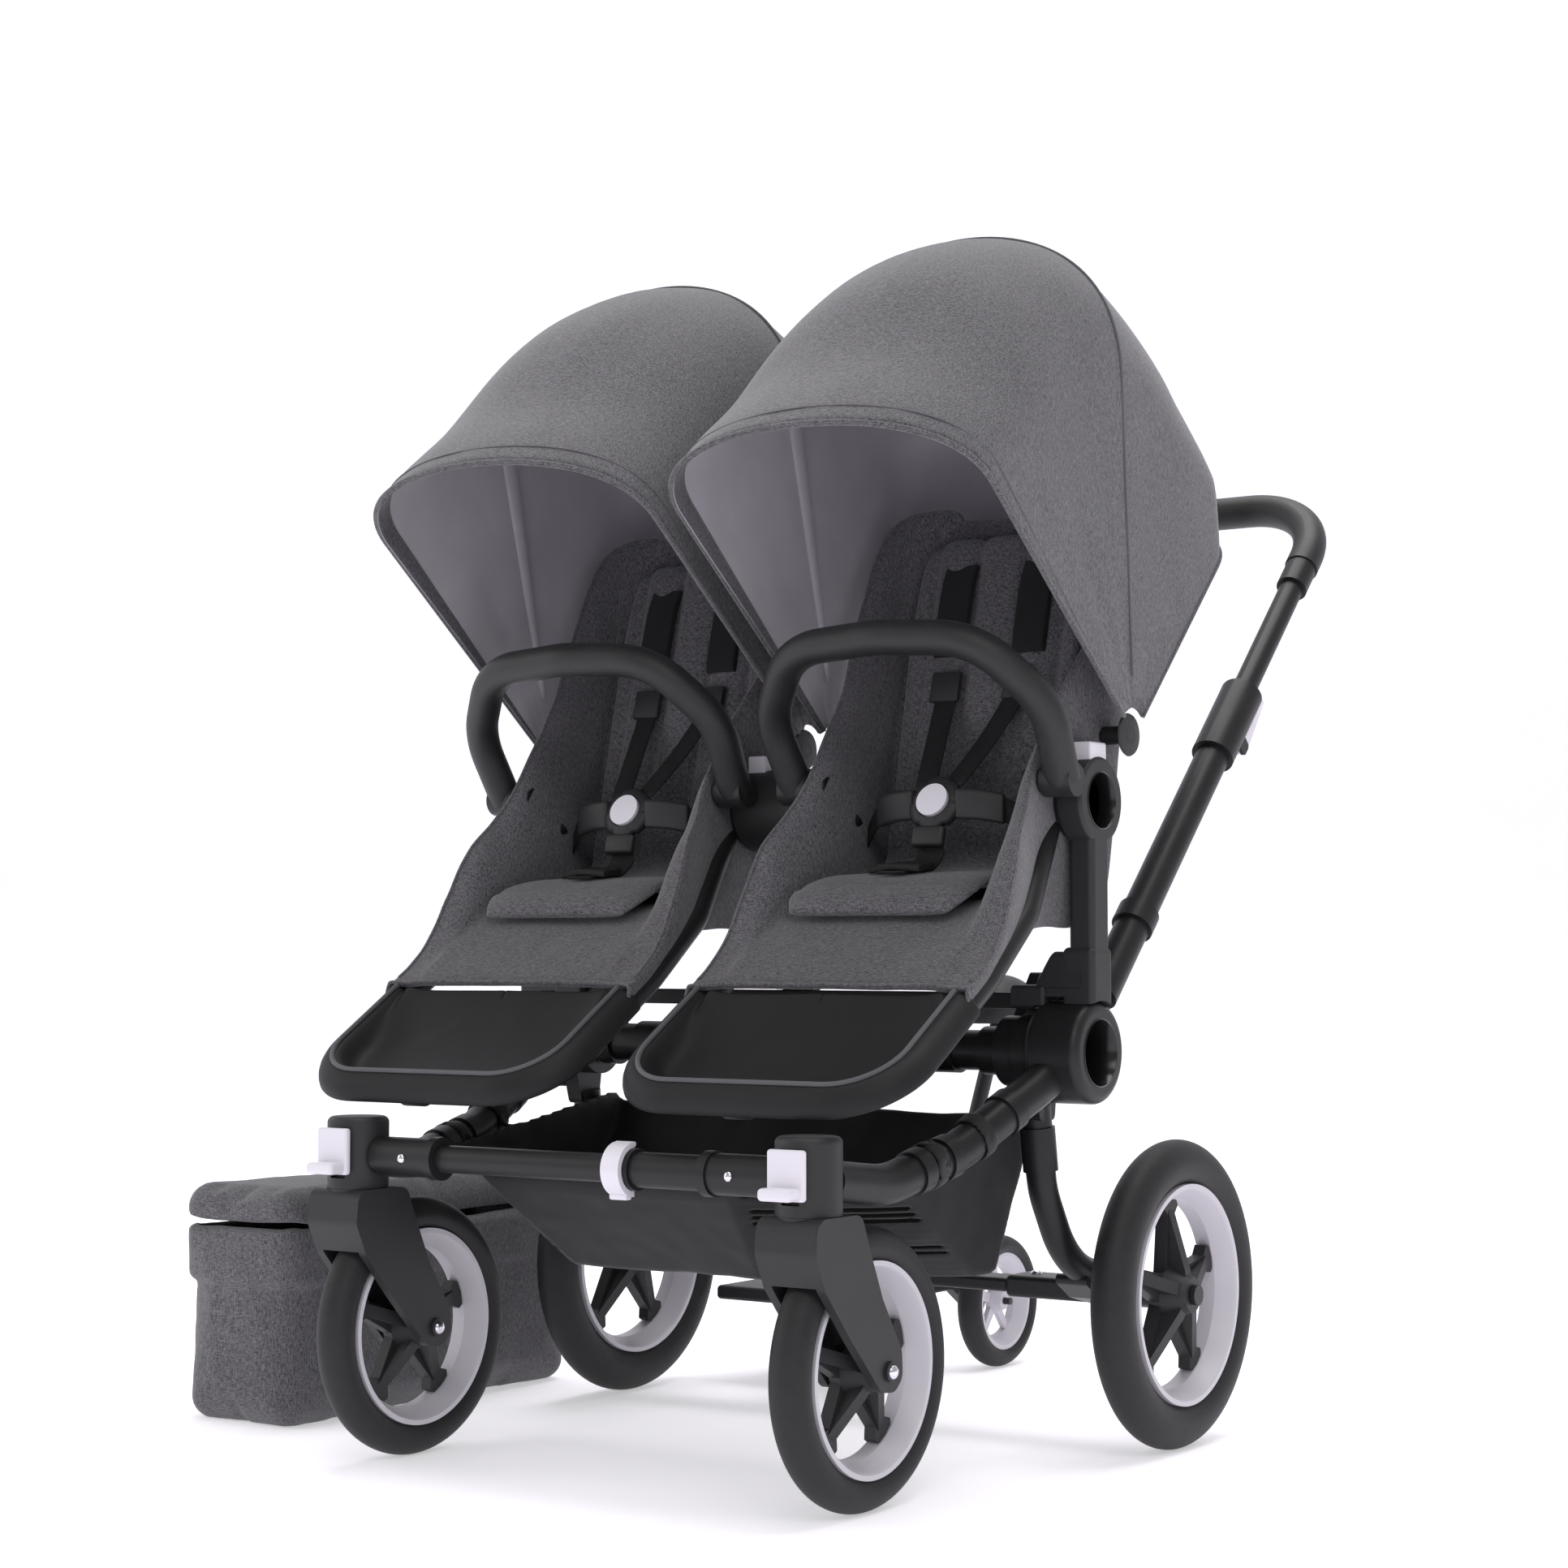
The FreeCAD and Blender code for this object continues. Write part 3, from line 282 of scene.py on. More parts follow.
for side in sides:
    for wheel, blocks in (("front", 15), ("rear", 19)):
        low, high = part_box(wheel + "_tyre_" + side)
        middle = (Vector(low) + Vector(high)) / 2
        rubber = tyreRubber(wheel + "Tread" + side, middle, (high[2] - low[2]) / 2, blocks)
        dress(wheel + "_tyre_" + side, rubber)
        dress(wheel + "_rim_" + side, finish["rim"])
        dress(wheel + "_star_" + side, finish["plastic"])
    for node in ("fork_", "castor_housing_", "upright_"):
        dress(node + side, finish["plastic"])
    for node in ("side_frame_", "rear_leg_", "handle_sleeve_", "seat_frame_"):
        dress(node + side, finish["tube"])
    for node in ("swivel_lock_", "clamp_lever_", "outer_button_", "inner_button_", "buckle_button_"):
        dress(node + side, finish["white"])
    dress("bumper_bar_" + side, finish["leather"])
low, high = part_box("board_tyre")
middle = (Vector(low) + Vector(high)) / 2
dress("board_tyre", tyreRubber("boardTread", middle, (high[2] - low[2]) / 2, 11))
dress("board_rim", finish["rim"])
for node in ("front_crossbar", "cross_tube", "carrier_rail", "axle_bar", "handle_bar"):
    dress(node, finish["tube"])
dress("crossbar_lever", finish["white"])
dress("centre_post", finish["plastic"])
dress("board_frame", finish["plastic"])
dress("handle_grip", finish["leather"])
print("hard parts dressed")


def piece(name, points, faces, material, body, smooth=True):
    mesh = bpy.data.meshes.new(name)
    mesh.from_pydata([tuple(p) for p in points], [], faces)
    for m in (material if isinstance(material, (list, tuple)) else [material]):
        mesh.materials.append(m)
    mesh.polygons.foreach_set("use_smooth", [smooth] * len(mesh.polygons))
    made = bpy.data.objects.new(name, mesh)
    bpy.context.collection.objects.link(made)
    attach(made, body)
    return made


def gridFaces(rows, columns, closed=False):
    wide = columns if closed else columns - 1
    return [(i * columns + j, i * columns + (j + 1) % columns, (i + 1) * columns + (j + 1) % columns,
             (i + 1) * columns + j) for i in range(rows - 1) for j in range(wide)]


def modifier(thing, kind, **settings):
    made = thing.modifiers.new(kind.lower(), kind)
    for key, value in settings.items():
        setattr(made, key, value)
    return made


def smoothPath(points, steps=8):
    found = []
    last = len(points) - 1
    for i in range(last):
        a, b = points[max(i - 1, 0)], points[i]
        c, d = points[i + 1], points[min(i + 2, last)]
        for k in range(steps):
            t = k / steps
            found.append(0.5 * ((2 * b) + (c - a) * t + (2 * a - 5 * b + 4 * c - d) * t * t
                                + (3 * b - a - 3 * c + d) * t ** 3))
    return found + [points[-1]]


def frames(path):
    # a steady pair of cross directions along the path
    found = []
    normal = None
    for i, p in enumerate(path):
        way = (path[min(i + 1, len(path) - 1)] - path[max(i - 1, 0)]).normalized()
        if normal is None:
            normal = way.orthogonal().normalized()
        normal = (normal - way * normal.dot(way)).normalized()
        found.append((p, normal, way.cross(normal)))
    return found


def cordPiece(name, path, radius, material, body, around=8):
    points = []
    for p, n, b in frames(path):
        for k in range(around):
            t = 2 * math.pi * k / around
            points.append(p + n * math.cos(t) * radius + b * math.sin(t) * radius)
    faces = gridFaces(len(path), around, True)
    faces += [tuple(range(around))[::-1], tuple(range(len(points) - around, len(points)))]
    return piece(name, points, faces, material, body)


def ribbon(name, path, wide, thick, width, depth, material, body):
    # a flat strap: wide and thick are unit directions, its edges slightly rounded
    corner = [(-0.5, 0.2), (-0.46, 0.5), (0.46, 0.5), (0.5, 0.2)]
    section = corner + [(-u, -v) for u, v in corner]
    points = []
    for p in path:
        points += [p + wide * (u * width) + thick * (v * depth) for u, v in section]
    n = len(section)
    faces = gridFaces(len(path), n, True)
    faces += [tuple(range(n))[::-1], tuple(range(len(points) - n, len(points)))]
    return piece(name, points, faces, material, body)


def lathe(name, profile, middle, way, material, body, around=40):
    way = way.normalized()
    side = way.orthogonal().normalized()
    other = way.cross(side)
    points = []
    for radius, height in profile:
        for k in range(around):
            t = 2 * math.pi * k / around
            out = side * math.cos(t) + other * math.sin(t)
            points.append(middle + out * radius / 1000 + way * height / 1000)
    faces = gridFaces(len(profile), around, True)
    faces += [tuple(range(around))[::-1], tuple(range(len(points) - around, len(points)))]
    made = piece(name, points, faces, material, body)
    modifier(made, "EDGE_SPLIT", split_angle=math.radians(50))
    return made


def frozen(thing):
    # the shape with its modifiers worked in
    depsgraph = bpy.context.evaluated_depsgraph_get()
    mesh = bpy.data.meshes.new_from_object(thing.evaluated_get(depsgraph))
    thing.modifiers.clear()
    thing.data = mesh
    return thing


def softForm(name, node, body, material, voxel=0.005, press=0.0, cap=0.008, smooth=6, fold=0.0012,
             seed=0.0):
    # a CAD solid turned into cloth: remeshed, swollen, smoothed and lightly creased
    mesh = nodes[node].data.copy()
    made = bpy.data.objects.new(name, mesh)
    bpy.context.collection.objects.link(made)
    modifier(made, "REMESH", mode="VOXEL", voxel_size=voxel)
    frozen(made)
    rest = [v.co.copy() for v in made.data.vertices]
    if press:
        cloth = modifier(made, "CLOTH")
        cloth.settings.use_pressure = True
        cloth.settings.uniform_pressure_force = press
        cloth.settings.effector_weights.gravity = 0
        cloth.settings.quality = 5
        cloth.point_cache.frame_end = 20
        for f in range(1, 21):
            bpy.context.scene.frame_set(f)
        frozen(made)
        for v, r in zip(made.data.vertices, rest):
            move = v.co - r
            if move.length > cap:
                v.co = r + move.normalized() * cap
        bpy.context.scene.frame_set(1)
    modifier(made, "SMOOTH", factor=0.5, iterations=smooth)
    frozen(made)
    normals = [v.normal.copy() for v in made.data.vertices]
    for v, n in zip(made.data.vertices, normals):
        p = v.co + Vector((seed, seed, 0))
        v.co += n * fold * (noise.noise(p * 14) + 0.45 * noise.noise(p * 38))
    made.data.materials.clear()
    for m in (material if isinstance(material, (list, tuple)) else [material]):
        made.data.materials.append(m)
    made.data.polygons.foreach_set("use_smooth", [True] * len(made.data.polygons))
    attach(made, body)
    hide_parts(node)
    return made


def hoopValues(angle):
    table = hood["visor"] + hood["rear"][1:]
    for (a, s, c), (a2, s2, c2) in zip(table, table[1:]):
        if angle <= a2 + 1e-6:
            t = (angle - a) / (a2 - a)
            i = table.index((a, s, c))
            if angle <= hood["ridge"] and 0 < i + 1 < len(hood["visor"]) + 1:
                before, after = table[max(i - 1, 0)], table[min(i + 2, 3)]
                ease = [0.5 * ((2 * p) + (q - o) * t + (2 * o - 5 * p + 4 * q - w) * t * t
                               + (3 * p - o - 3 * q + w) * t ** 3)
                        for o, p, q, w in zip(before[1:], (s, c), (s2, c2), after[1:])]
                return ease
            return s + (s2 - s) * t, c + (c2 - c) * t
    return table[-1][1:]


def hoopPoint(x0, angle, u, inset=0.0, raised=0.0):
    # u runs 0 to 1 from the left foot of the hoop over the crown to the right foot
    side, crown = hoopValues(angle)
    half = hood["half"] - inset + raised
    side, crown = side - inset + raised, crown - inset + raised
    a = math.radians(angle)
    way = 1 if u > 0.5 else -1
    t = abs(u - 0.5) * 2
    legPart = hood["leg"]
    if t > 1 - legPart:
        k = (1 - t) / legPart
        x, r = half, hood["start"] + (side - hood["start"]) * k
    else:
        k = 1 - t / (1 - legPart)
        rise = crown - side
        b = ((1 - k) ** 3, 3 * k * (1 - k) ** 2, 3 * k * k * (1 - k), k ** 3)
        x = half * (b[0] + b[1] + b[2] * hood["spread"])
        r = side * b[0] + (side + hood["fullness"] * rise) * b[1] + crown * (b[2] + b[3])
    return at(x0 + way * x, hood["pivotY"] - r * math.cos(a), hood["pivotZ"] + r * math.sin(a))


def makeHood(side):
    x0 = sides[side] * seat["pitch"] / 2
    body = "canopy_" + side
    front, ridge, back = hood["front"], hood["ridge"], hood["back"]
    angles = [front + (ridge - front) * i / 28 for i in range(29)]
    angles += [ridge + (back - ridge) * i / 24 for i in range(1, 25)]
    columns = hood["columns"]
    turned = sides[side]
    points = []
    for a in angles:
        for j in range(columns + 1):
            u = j / columns
            if a < ridge:
                sag = hood["visorSag"] * math.sin(math.pi * (a - front) / (ridge - front))
            else:
                sag = hood["rearSag"] * abs(math.sin(math.pi * (a - ridge) / (back - ridge)))
            sag *= math.sin(math.pi * u)
            p = hoopPoint(x0, a, u, sag)
            crease = noise.noise(Vector((a * 0.09, u * 14, turned))) * hood["ripple"]
            near = math.exp(-((a - hood["crease"]) / 7) ** 2)
            crease += hood["creaseDepth"] * near * noise.noise(Vector((u * 26, 3, turned)))
            inward = (at(x0, 300, 850) - p).normalized()
            points.append(p + inward * crease / 1000)
    skin = piece("hoodSkin" + side.capitalize(), points, gridFaces(len(angles), columns + 1),
                 [finish["cloth"], finish["lining"]], body)
    modifier(skin, "SOLIDIFY", thickness=hood["thickness"], offset=-1, material_offset=1,
             material_offset_rim=0)
    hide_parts(body)
    # back apron, hanging from the rear hoop
    rows = 14
    points = []
    for i in range(rows + 1):
        k = i / rows
        for j in range(49):
            u = j / 48
            edge = hoopPoint(x0, hood["back"], 0.2 + 0.6 * u, 1.5)
            footY = hood["apronFoot"][0] + 9 * math.cos(math.pi * (u - 0.5))
            foot = at(x0 + (u - 0.5) * 2 * hood["apronHalf"], footY, hood["apronFoot"][1])
            p = edge.lerp(foot, k)
            p += Vector((0, 0.004 * math.sin(math.pi * k), 0)) * math.cos(math.pi * (u - 0.5))
            points.append(p)
    apron = piece("hoodApron" + side.capitalize(), points, gridFaces(rows + 1, 49),
                  [finish["cloth"], finish["lining"]], body)
    modifier(apron, "SOLIDIFY", thickness=0.0024, offset=1, material_offset=1)
    # hem at the visor, welt on the hoop seam, edge of the rear panel
    edges = (("Hem", front + 0.3, 2.1, 0.0, 1.0), ("HemSeam", front + 3.6, 0.8, 0.0, 1.0),
             ("Welt", ridge, 1.5, 0.02, 0.98), ("RearEdge", back - 0.1, 1.7, 0.0, 1.0))
    for label, angle, radius, low, high in edges:
        raised = 0.4 if radius > 1 else -0.3
        path = [hoopPoint(x0, angle, low + (high - low) * i / 90, 0, raised) for i in range(91)]
        cordPiece("hood" + label + side.capitalize(), path, radius / 1000,
                  finish["cloth" if label in ("Hem", "RearEdge") else "piping"], body)
    # inner face of the visor hem
    count = 91
    points = [hoopPoint(x0, front + 0.2 + i * 0.85, j / (count - 1), 3.4)
              for i in range(5) for j in range(count)]
    band = piece("hoodBand" + side.capitalize(), points, gridFaces(5, count), finish["cloth"], body)
    modifier(band, "SOLIDIFY", thickness=0.0012, offset=1)
    # hoop tunnel sewn inside
    points = []
    for i in range(61):
        u = 0.03 + 0.94 * i / 60
        for da, depth in ((-2.1, 3.0), (-1.6, 5.4), (0, 6.4), (1.6, 5.4), (2.1, 3.0)):
            points.append(hoopPoint(x0, hood["tunnel"] + da, u, depth))
    tunnel = piece("hoopTunnel" + side.capitalize(), points, gridFaces(61, 5), finish["lining"], body)
    modifier(tunnel, "SOLIDIFY", thickness=0.001, offset=1)
    for way in (-1, 1):
        lathe("hoodClamp" + side.capitalize() + ("Outer" if way > 0 else "Inner"),
              [(0, 0), (20, 0), (21, 1.2), (20, 3.0), (9, 4.2), (0, 4.4)],
              at(x0 + way * (hood["half"] - 7.6), hood["pivotY"], hood["pivotZ"]), Vector((way, 0, 0)),
              finish["plastic"], body)
    return skin


for side in sides:
    makeHood(side)
print("hoods made")


# each station gives the middle, the wing top and the outside foot as (y, z), then the half width at the
# wing and the half width of the flat part
sling = [((54, 460), (54, 458), (48, 430), 150, 112), ((85, 484), (88, 481), (80, 450), 150, 112),
         ((112, 503), (112, 507), (105, 470), 149, 110), ((138, 520), (136, 550), (135, 488), 147, 108),
         ((162, 531), (160, 594), (165, 505), 142, 104), ((190, 537), (190, 626), (200, 512), 133, 100),
         ((225, 540), (216, 664), (240, 514), 125, 97), ((262, 543), (250, 712), (300, 514), 125, 96),
         ((296, 549), (286, 758), (345, 530), 130, 96), ((318, 566), (316, 804), (352, 600), 138, 98),
         ((330, 606), (344, 858), (364, 700), 141, 101), ((350, 680), (370, 908), (392, 790), 140, 105),
         ((372, 762), (388, 934), (420, 870), 133, 106), ((395, 848), (400, 944), (434, 915), 120, 98),
         ((411, 908), (411, 948), (438, 936), 104, 84), ((420, 938), (419, 950), (438, 944), 84, 66)]
padding = {"path": [(126, 527), (146, 543), (182, 556), (225, 559), (262, 561), (286, 566), (303, 580),
                    (313, 606), (331, 672), (352, 752), (373, 832), (389, 893), (397, 912)],
           "half": [88, 100, 99, 95, 93, 92, 92, 93, 95, 98, 99, 94, 76], "thick": 17,
           "channels": (-78, -27, 27, 78), "crest": 158}
tray = {"slope": math.atan2(106, 168), "half": 144, "front": -68, "low": 360, "back": 152, "corner": 60,
        "rings": [(-17, -5), (-15, 5), (-8, 13), (0, 16.5), (6, 14), (11, 6), (16, -3), (26, -8), (48, -9),
                  (84, -9), (126, -9), (139.5, -9), (143.9, -9)]}


def curved(values, steps=6):
    return [(p.x, p.y, p.z) for p in smoothPath([Vector((*v, 0)) for v in values], steps)]


def makeSling(side, x0, body):
    middles = curved([s[0] for s in sling])
    tops = curved([s[1] for s in sling])
    feet = curved([s[2] for s in sling])
    widths = curved([(s[3], s[4]) for s in sling])
    rows = []
    for (cy, cz, _), (ty, tz, _), (fy, fz, _), (w, flat, _) in zip(middles, tops, feet, widths):
        half = [(0, 0.0), (0.4, 0.0), (0.78, 0.01)]
        line = [Vector((flat * u, cy + (ty - cy) * k, cz + (tz - cz) * k)) for u, k in half]
        line += [Vector((flat + (w - flat) * u, cy + (ty - cy) * k, cz + (tz - cz) * k))
                 for u, k in ((0.08, 0.08), (0.24, 0.42), (0.55, 0.84), (1.0, 1.0))]
        line += [Vector((w + 4, ty + (fy - ty) * 0.06, tz + (fz - tz) * 0.08)),
                 Vector((w + 5, ty + (fy - ty) * 0.5, tz + (fz - tz) * 0.5)), Vector((w + 2, fy, fz))]
        line = smoothPath(line, 4)
        rows.append([Vector((-p.x, p.y, p.z)) for p in line[:0:-1]] + line)
    points = []
    for i, row in enumerate(rows):
        for j, p in enumerate(row):
            spot = Vector((p.x + 400 * sides[side], p.y, p.z))
            ripple = 1.1 * noise.noise(spot * 0.017) + 0.6 * noise.noise(spot * 0.045)
            pull = math.exp(-((p.y - 235) / 45) ** 2) * min(1, abs(p.x) / 110)
            drag = 1.5 * math.sin(p.x * 0.22 + p.z * 0.05) * pull
            points.append(at(x0 + p.x, p.y - ripple, p.z + ripple + drag))
    columns = len(rows[0])
    made = piece("seatSling" + side.capitalize(), points, gridFaces(len(rows), columns), finish["cloth"],
                 body)
    modifier(made, "SOLIDIFY", thickness=0.006, offset=-1)
    modifier(made, "SUBSURF", levels=1, render_levels=1)
    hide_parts("seat_shell_" + side)
    hem = [points[j] + Vector((0, -0.001, 0.001)) for j in range(columns)]
    cordPiece("slingHem" + side.capitalize(), hem, 0.002, finish["cloth"], body)
    for label, pick in (("Left", columns // 2 - 24), ("Right", columns // 2 + 24)):
        edge = [points[i * columns + pick] for i in range(2, len(rows) - 2)]
        cordPiece("wingPiping" + label + side.capitalize(), edge, 0.0019, finish["cloth"], body)


def makePad(side, x0, body):
    path = curved(padding["path"])
    halves = curved([(h, 0) for h in padding["half"]])
    count = 61
    points = []
    for i, ((y, z, _), (half, _, _)) in enumerate(zip(path, halves)):
        ahead, back = path[min(i + 1, len(path) - 1)], path[max(i - 1, 0)]
        way = Vector((0, ahead[0] - back[0], ahead[1] - back[1])).normalized()
        up = Vector((0, -way.z, way.y))
        ending = min(1.0, min(i, len(path) - 1 - i) / 5 + 0.15) ** 0.5
        for face in (1, -1):
            for j in range(count):
                u = (j / (count - 1) * 2 - 1) * face
                x = u * half
                rise = padding["thick"] * 0.5 * (1 - abs(u) ** 5) ** 0.5 * ending
                if face > 0:
                    if z > 590:
                        rise -= sum(4.6 * math.exp(-((x - c) / 4.2) ** 2) for c in padding["channels"])
                        rise += 2.2 * math.cos(x * math.pi / 52) ** 2
                    rise -= 2.6 * math.exp(-((y - padding["crest"]) / 4.0) ** 2) if z < 570 else 0
                    rise += 0.9 * noise.noise(Vector((x * 0.03, y * 0.03, z * 0.03 + 5 * sides[side])))
                points.append(at(x0 + x, y, z) + up * rise * face / 1000)
    ring = count * 2
    faces = gridFaces(len(path), ring, True)
    faces += [tuple(range(ring))[::-1], tuple(range(len(points) - ring, len(points)))]
    made = piece("seatCushion" + side.capitalize(), points, faces, finish["cloth"], body)
    modifier(made, "EDGE_SPLIT", split_angle=math.radians(70))
    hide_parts("seat_pad_" + side)


def trayPoint(x0, k, inset, height):
    # k runs 0 to 1 round the open side of the tray, from the left rear end over the front to the right
    half = tray["half"] - inset
    radius = min(half, max(4.0, tray["corner"] - inset))
    length, back = inset, tray["back"]
    straight, arc, front = back - radius - length, radius * math.pi / 2, 2 * (half - radius)
    total = 2 * straight + 2 * arc + front
    s = k * total
    if s < straight:
        x, v = -half, back - s
    elif s < straight + arc:
        a = (s - straight) / radius
        x, v = -half + radius - radius * math.cos(a), length + radius - radius * math.sin(a)
    elif s < straight + arc + front:
        x, v = -half + radius + s - straight - arc, length
    elif s < straight + 2 * arc + front:
        a = (s - straight - arc - front) / radius
        x, v = half - radius + radius * math.sin(a), length + radius - radius * math.cos(a)
    else:
        x, v = half, length + radius + s - straight - 2 * arc - front
    lift = 0.0 if inset < 14 else 22 * max(0.0, (v - 70) / 85) ** 1.5
    c, n = math.cos(tray["slope"]), math.sin(tray["slope"])
    up = height + lift
    return at(x0 + x, tray["front"] + v * c - up * n, tray["low"] + v * n + up * c)


def makeTray(side, x0, body):
    count = 81
    points = [trayPoint(x0, j / (count - 1), inset, height)
              for inset, height in tray["rings"] for j in range(count)]
    made = piece("footTray" + side.capitalize(), points, gridFaces(len(tray["rings"]), count),
                 finish["liner"], body)
    modifier(made, "SOLIDIFY", thickness=0.0025, offset=1)
    modifier(made, "SUBSURF", levels=1, render_levels=1)
    path = [trayPoint(x0, j / (count - 1), 2.5, 18.6) for j in range(count)]
    cordPiece("footPiping" + side.capitalize(), path, 0.0024, finish["piping"], body)


harness = {"pads": ((884, 7), (862, 12), (830, 13), (800, 12), (788, 9)), "slides": (772, 758, 742),
           "waist": ((22, 250, 634), (46, 254, 632), (64, 258, 630), (90, 276, 616), (110, 294, 598)),
           "clips": ((24, 247, 634), (44, 250, 633), (58, 254, 631), (72, 260, 628)),
           "spread": 46, "webWide": 0.024, "padWide": 0.038, "slideWide": 0.034, "clipWide": 0.03}


def makeSeat(side):
    x0 = sides[side] * seat["pitch"] / 2
    body = "seat_" + side
    title = side.capitalize()
    makeSling(side, x0, body)
    makePad(side, x0, body)
    makeTray(side, x0, body)
    # strap round the front bar of the footrest
    for label, x, y, z, way in (("Front", -9, -68, 360, Vector((1, 0, 0))),
                                ("Side", 143, 0, 404, Vector((0, 100, 66)).normalized())):
        loop = []
        middle = at(x0 + x, y, z)
        n1 = way.orthogonal().normalized()
        n2 = way.cross(n1)
        for k in range(25):
            t = 2 * math.pi * k / 24
            loop.append(middle + (n1 * math.cos(t) + n2 * math.sin(t)) * 0.0142)
        ribbonRing("footStrap" + label + title, loop, way, 0.024, 0.0022, finish["dark"], body)
    # harness webbing
    gap, spread = seat["webGap"], harness["spread"]
    flat, back = Vector((1, 0, 0)), Vector((0, 1, -0.27)).normalized()
    for label, way in (("Left", -1), ("Right", 1)):
        ending = label + title
        run = [(spread, backY(905) - gap, 905), (spread, backY(850) - gap - 5, 850),
               (spread, backY(800) - gap - 5, 800), (42, backY(755) - gap - 12, 755), (30, 300, 700),
               (15, 256, 652)]
        path = smoothPath([at(x0 + way * x, y, z) for x, y, z in run], 8)
        ribbon("shoulderWeb" + ending, path, flat, Vector((0, 1, -0.3)).normalized(),
               harness["webWide"], 0.0024, finish["web"], body)
        padRun = [at(x0 + way * spread, backY(z) - gap - off, z) for z, off in harness["pads"]]
        padRun = smoothPath(padRun, 6)
        pad = ribbon("shoulderPad" + ending, padRun, flat, back, harness["padWide"], 0.009,
                     finish["dark"], body)
        modifier(pad, "BEVEL", width=0.003, segments=3)
        slideRun = [at(x0 + way * 42, backY(z) - gap - 16, z) for z in harness["slides"]]
        adjuster = ribbon("shoulderSlide" + ending, slideRun, flat, back, harness["slideWide"], 0.006,
                          finish["plastic"], body)
        modifier(adjuster, "BEVEL", width=0.002, segments=2)
        path = smoothPath([at(x0 + way * x, y, z) for x, y, z in harness["waist"]], 6)
        ribbon("waistWeb" + ending, path, Vector((0.1, 0, 1)).normalized(),
               Vector((-way * 0.4, 1, 0)).normalized(), harness["webWide"], 0.0026, finish["web"], body)
        clipRun = [at(x0 + way * x, y, z) for x, y, z in harness["clips"]]
        clip = ribbon("waistClip" + ending, clipRun, Vector((0, 0, 1)),
                      Vector((-way * 0.3, 1, 0)).normalized(), harness["clipWide"], 0.009,
                      finish["plastic"], body)
        modifier(clip, "BEVEL", width=0.003, segments=3)
    buckle(title, x0, body)


def ribbonRing(name, loop, way, width, depth, material, body):
    # a flat band wrapped round a bar
    middle = sum(loop[:-1], Vector()) / (len(loop) - 1)
    points = []
    for p in loop[:-1]:
        out = (p - middle).normalized()
        for u, v in ((-0.5, 0), (-0.48, 1), (0.48, 1), (0.5, 0)):
            points.append(p + way * (u * width) + out * (v * depth))
    count = len(loop) - 1
    faces = [(i * 4 + j, i * 4 + j + 1, (i + 1) % count * 4 + j + 1, (i + 1) % count * 4 + j)
             for i in range(count) for j in range(3)]
    return piece(name, points, faces, material, body)


# profile rings of the buckle give radius and height
buckleSet = {"tilt": 24, "y": 250, "z": 635, "around": 72, "lugs": 6, "notch": 2.6,
             "profile": ((10, -7), (26, -7), (28.5, -3), (29, 1), (27, 4.5), (21.5, 6.8), (18.2, 7.0),
                         (17.8, 4.0), (17.6, 1.0))}


def buckle(title, x0, body):
    tilt = math.radians(buckleSet["tilt"])
    way = Vector((0, -math.cos(tilt), math.sin(tilt)))
    up = Vector((0, math.sin(tilt), math.cos(tilt)))
    side = Vector((1, 0, 0))
    middle = at(x0, buckleSet["y"], buckleSet["z"])
    # housing with six lugs between radial slots
    around = buckleSet["around"]
    profile = buckleSet["profile"]
    points = []
    for radius, height in profile:
        for k in range(around):
            t = 2 * math.pi * k / around
            slot = max(0.0, math.cos(buckleSet["lugs"] * t)) ** 8
            notch = buckleSet["notch"] * slot if radius > 20 else 0.0
            rr = (radius - notch) / 1000
            points.append(middle + (side * math.cos(t) + up * math.sin(t)) * rr + way * height / 1000)
    faces = gridFaces(len(profile), around, True)
    faces += [tuple(range(around))[::-1], tuple(range(len(points) - around, len(points)))]
    made = piece("buckle" + title, points, faces, finish["plastic"], body)
    modifier(made, "EDGE_SPLIT", split_angle=math.radians(55))
    # crotch tongue and web
    tongue = [middle - up * 0.026 + way * 0.001, middle - up * 0.036, middle - up * 0.046 - way * 0.002]
    shaped = ribbon("crotchTongue" + title, tongue, side, way, 0.036, 0.010, finish["plastic"], body)
    modifier(shaped, "BEVEL", width=0.003, segments=3)
    low = [at(x0, y, z) for y, z in ((240, 585), (222, 570), (196, 568), (168, 566))]
    path = smoothPath([middle - up * 0.04 - way * 0.003] + low, 7)
    ribbon("crotchWeb" + title, path, side, Vector((0, -0.5, 0.86)).normalized(), 0.03, 0.003,
           finish["web"], body)
    path = smoothPath([at(x0 - 34, 196, 570), at(x0 - 8, 190, 573), at(x0 + 28, 188, 571)], 5)
    base = ribbon("crotchPad" + title, path, Vector((0, 1, 0.1)).normalized(), Vector((0, 0, 1)), 0.03,
                  0.007, finish["web"], body)
    modifier(base, "BEVEL", width=0.002, segments=2)


for side in sides:
    makeSeat(side)
    holder = bpy.data.objects["buckle" + side.capitalize()]
    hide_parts("harness_" + side)
print("seats made")


basketPiece = softForm("basketBag", "basket", "chassis", [finish["basket"], finish["mesh"]], 0.003, 0, 0, 3,
                       0.002)
bagPiece = softForm("bagBody", "bag_body", "bag", finish["cloth"], 0.004, 2.0, 0.006, 3, 0.0018, 1.0)
lidPiece = softForm("bagLid", "bag_lid", "bag_lid", finish["cloth"], 0.0045, 3.0, 0.006, 3, 0.0012, 4.0)
# the swollen bottom lies flat on the floor
floorGap = 0.0008
for v in bagPiece.data.vertices:
    v.co.z = max(v.co.z, floorGap)
print("basket and bag made")


